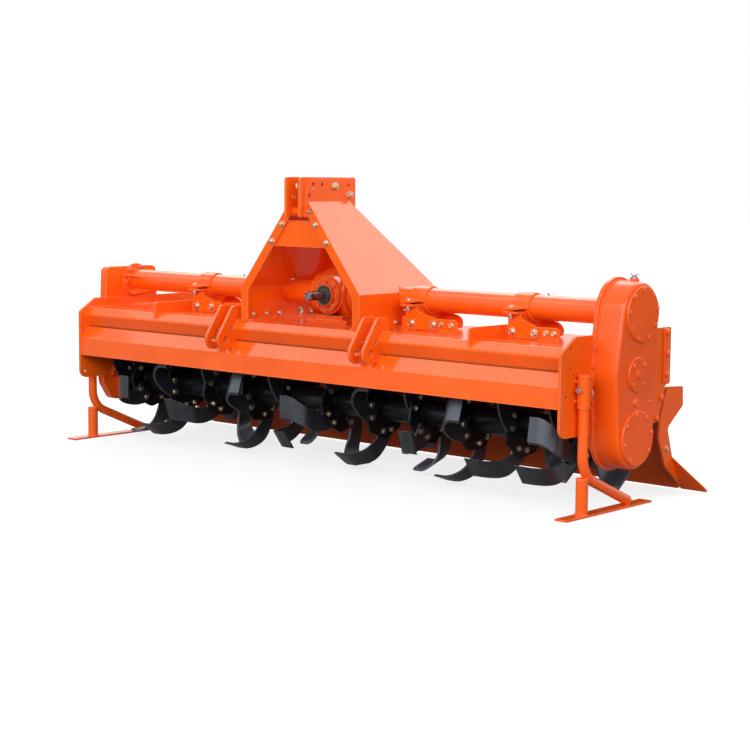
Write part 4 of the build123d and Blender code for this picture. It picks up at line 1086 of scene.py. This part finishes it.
def pale_floor():
    """A pale floor that fades to white with distance, and shows darker in a reflection."""
    bpy.ops.mesh.primitive_plane_add(size=60, location=(0, 0, 0))
    floor = take_new("studio_floor")
    material = bpy.data.materials.new("studio_floor")
    material.use_nodes = True
    nodes = Nodes(material.node_tree)
    shader = material.node_tree.nodes["Principled BSDF"]
    preset(shader.inputs, {"Base Color": (FLOOR_GREY, FLOOR_GREY, FLOOR_GREY, 1),
                           "Roughness": 0.9, "Specular IOR Level": 0.1})
    glow = nodes.add("ShaderNodeEmission")
    where = nodes.add("ShaderNodeTexCoord").outputs["Object"]
    span = nodes.add("ShaderNodeVectorMath", operation="LENGTH")
    nodes.link(where, span.inputs[0])
    far = nodes.between(span.outputs["Value"], (FLOOR_NEAR, FLOOR_FAR), (FLOOR_SHADE, 1.0))
    rays = nodes.add("ShaderNodeLightPath").outputs
    direct = nodes.times(rays["Is Camera Ray"], far)
    mirrored = nodes.maths("MAXIMUM", rays["Is Glossy Ray"], rays["Is Transmission Ray"])
    mirrored = nodes.times(mirrored, FLOOR_MIRRORED)
    nodes.link(nodes.maths("MAXIMUM", direct, mirrored), glow.inputs["Strength"])
    both = nodes.add("ShaderNodeAddShader")
    nodes.link(shader.outputs[0], both.inputs[0])
    nodes.link(glow.outputs[0], both.inputs[1])
    nodes.link(both.outputs[0], material.node_tree.nodes["Material Output"].inputs[0])
    floor.data.materials.append(material)


def studio_world():
    """A white surround that lights the object less than it shows."""
    world = bpy.data.worlds.new("studio")
    bpy.context.scene.world = world
    world.use_nodes = True
    nodes = Nodes(world.node_tree)
    background = world.node_tree.nodes["Background"]
    rays = nodes.add("ShaderNodeLightPath").outputs
    seen = nodes.maths("MAXIMUM", rays["Is Camera Ray"], rays["Is Glossy Ray"])
    seen = nodes.maths("MAXIMUM", seen, rays["Is Transmission Ray"])
    nodes.link(nodes.between(seen, (0, 1), (WORLD_LIGHT, 1.0)), background.inputs["Strength"])
    background.inputs["Color"].default_value = (1, 1, 1, 1)


def softbox(name, place, target, width, height, power):
    """A rectangular light turned to its target, or level overhead where it has none."""
    light = bpy.data.lights.new(name, "AREA")
    light.shape = "RECTANGLE"
    light.size, light.size_y = width, height
    light.energy = power
    lamp = bpy.data.objects.new(name, light)
    lamp.location = place
    if target:
        way = Vector(target) - Vector(place)
        lamp.rotation_euler = way.to_track_quat("-Z", "Y").to_euler()
    bpy.context.scene.collection.objects.link(lamp)


pale_floor()
studio_world()
# place and target in metres, then width, height and watts
softbox("front_key", (0.9, -5.0, 2.8), (0.5, 0, 0.4), 5.0, 2.4, 212)
softbox("side_fill", (5.4, -2.4, 2.6), (0.8, 0, 0.4), 3.0, 2.4, 130)
softbox("front_sky", (-2.58, -1.65, 3.3), None, 3.8, 1.0, 26)
softbox("rear_sky", (-2.7, 2.2, 3.3), None, 4.4, 2.8, 120)
softbox("rear_top", (1.15, 2.6, 3.1), (0.2, 0, 0.86), 3.2, 2.4, 85)

AZIMUTH, ELEVATION, ROLL = radians(41.498), radians(6.5), radians(0.519)
STANCE = (4552.7, -4952.5, 1126.0)
LENS, SENSOR = 83.33, 36

back = Vector((sin(AZIMUTH) * cos(ELEVATION), -cos(AZIMUTH) * cos(ELEVATION), sin(ELEVATION)))
across = Vector((cos(AZIMUTH), sin(AZIMUTH), 0))
above = back.cross(across)
tilted_across = across * cos(ROLL) + above * sin(ROLL)
tilted_above = above * cos(ROLL) - across * sin(ROLL)
stance = Matrix((tilted_across, tilted_above, back)).transposed().to_4x4()
stance.translation = at(*STANCE)
view = bpy.data.objects.new("camera", bpy.data.cameras.new("camera"))
bpy.context.scene.collection.objects.link(view)
view.matrix_world = stance
view.data.sensor_width = SENSOR
view.data.lens = LENS
view.data.clip_end = 100
bpy.context.scene.camera = view
bpy.context.scene.view_settings.view_transform = "Standard"
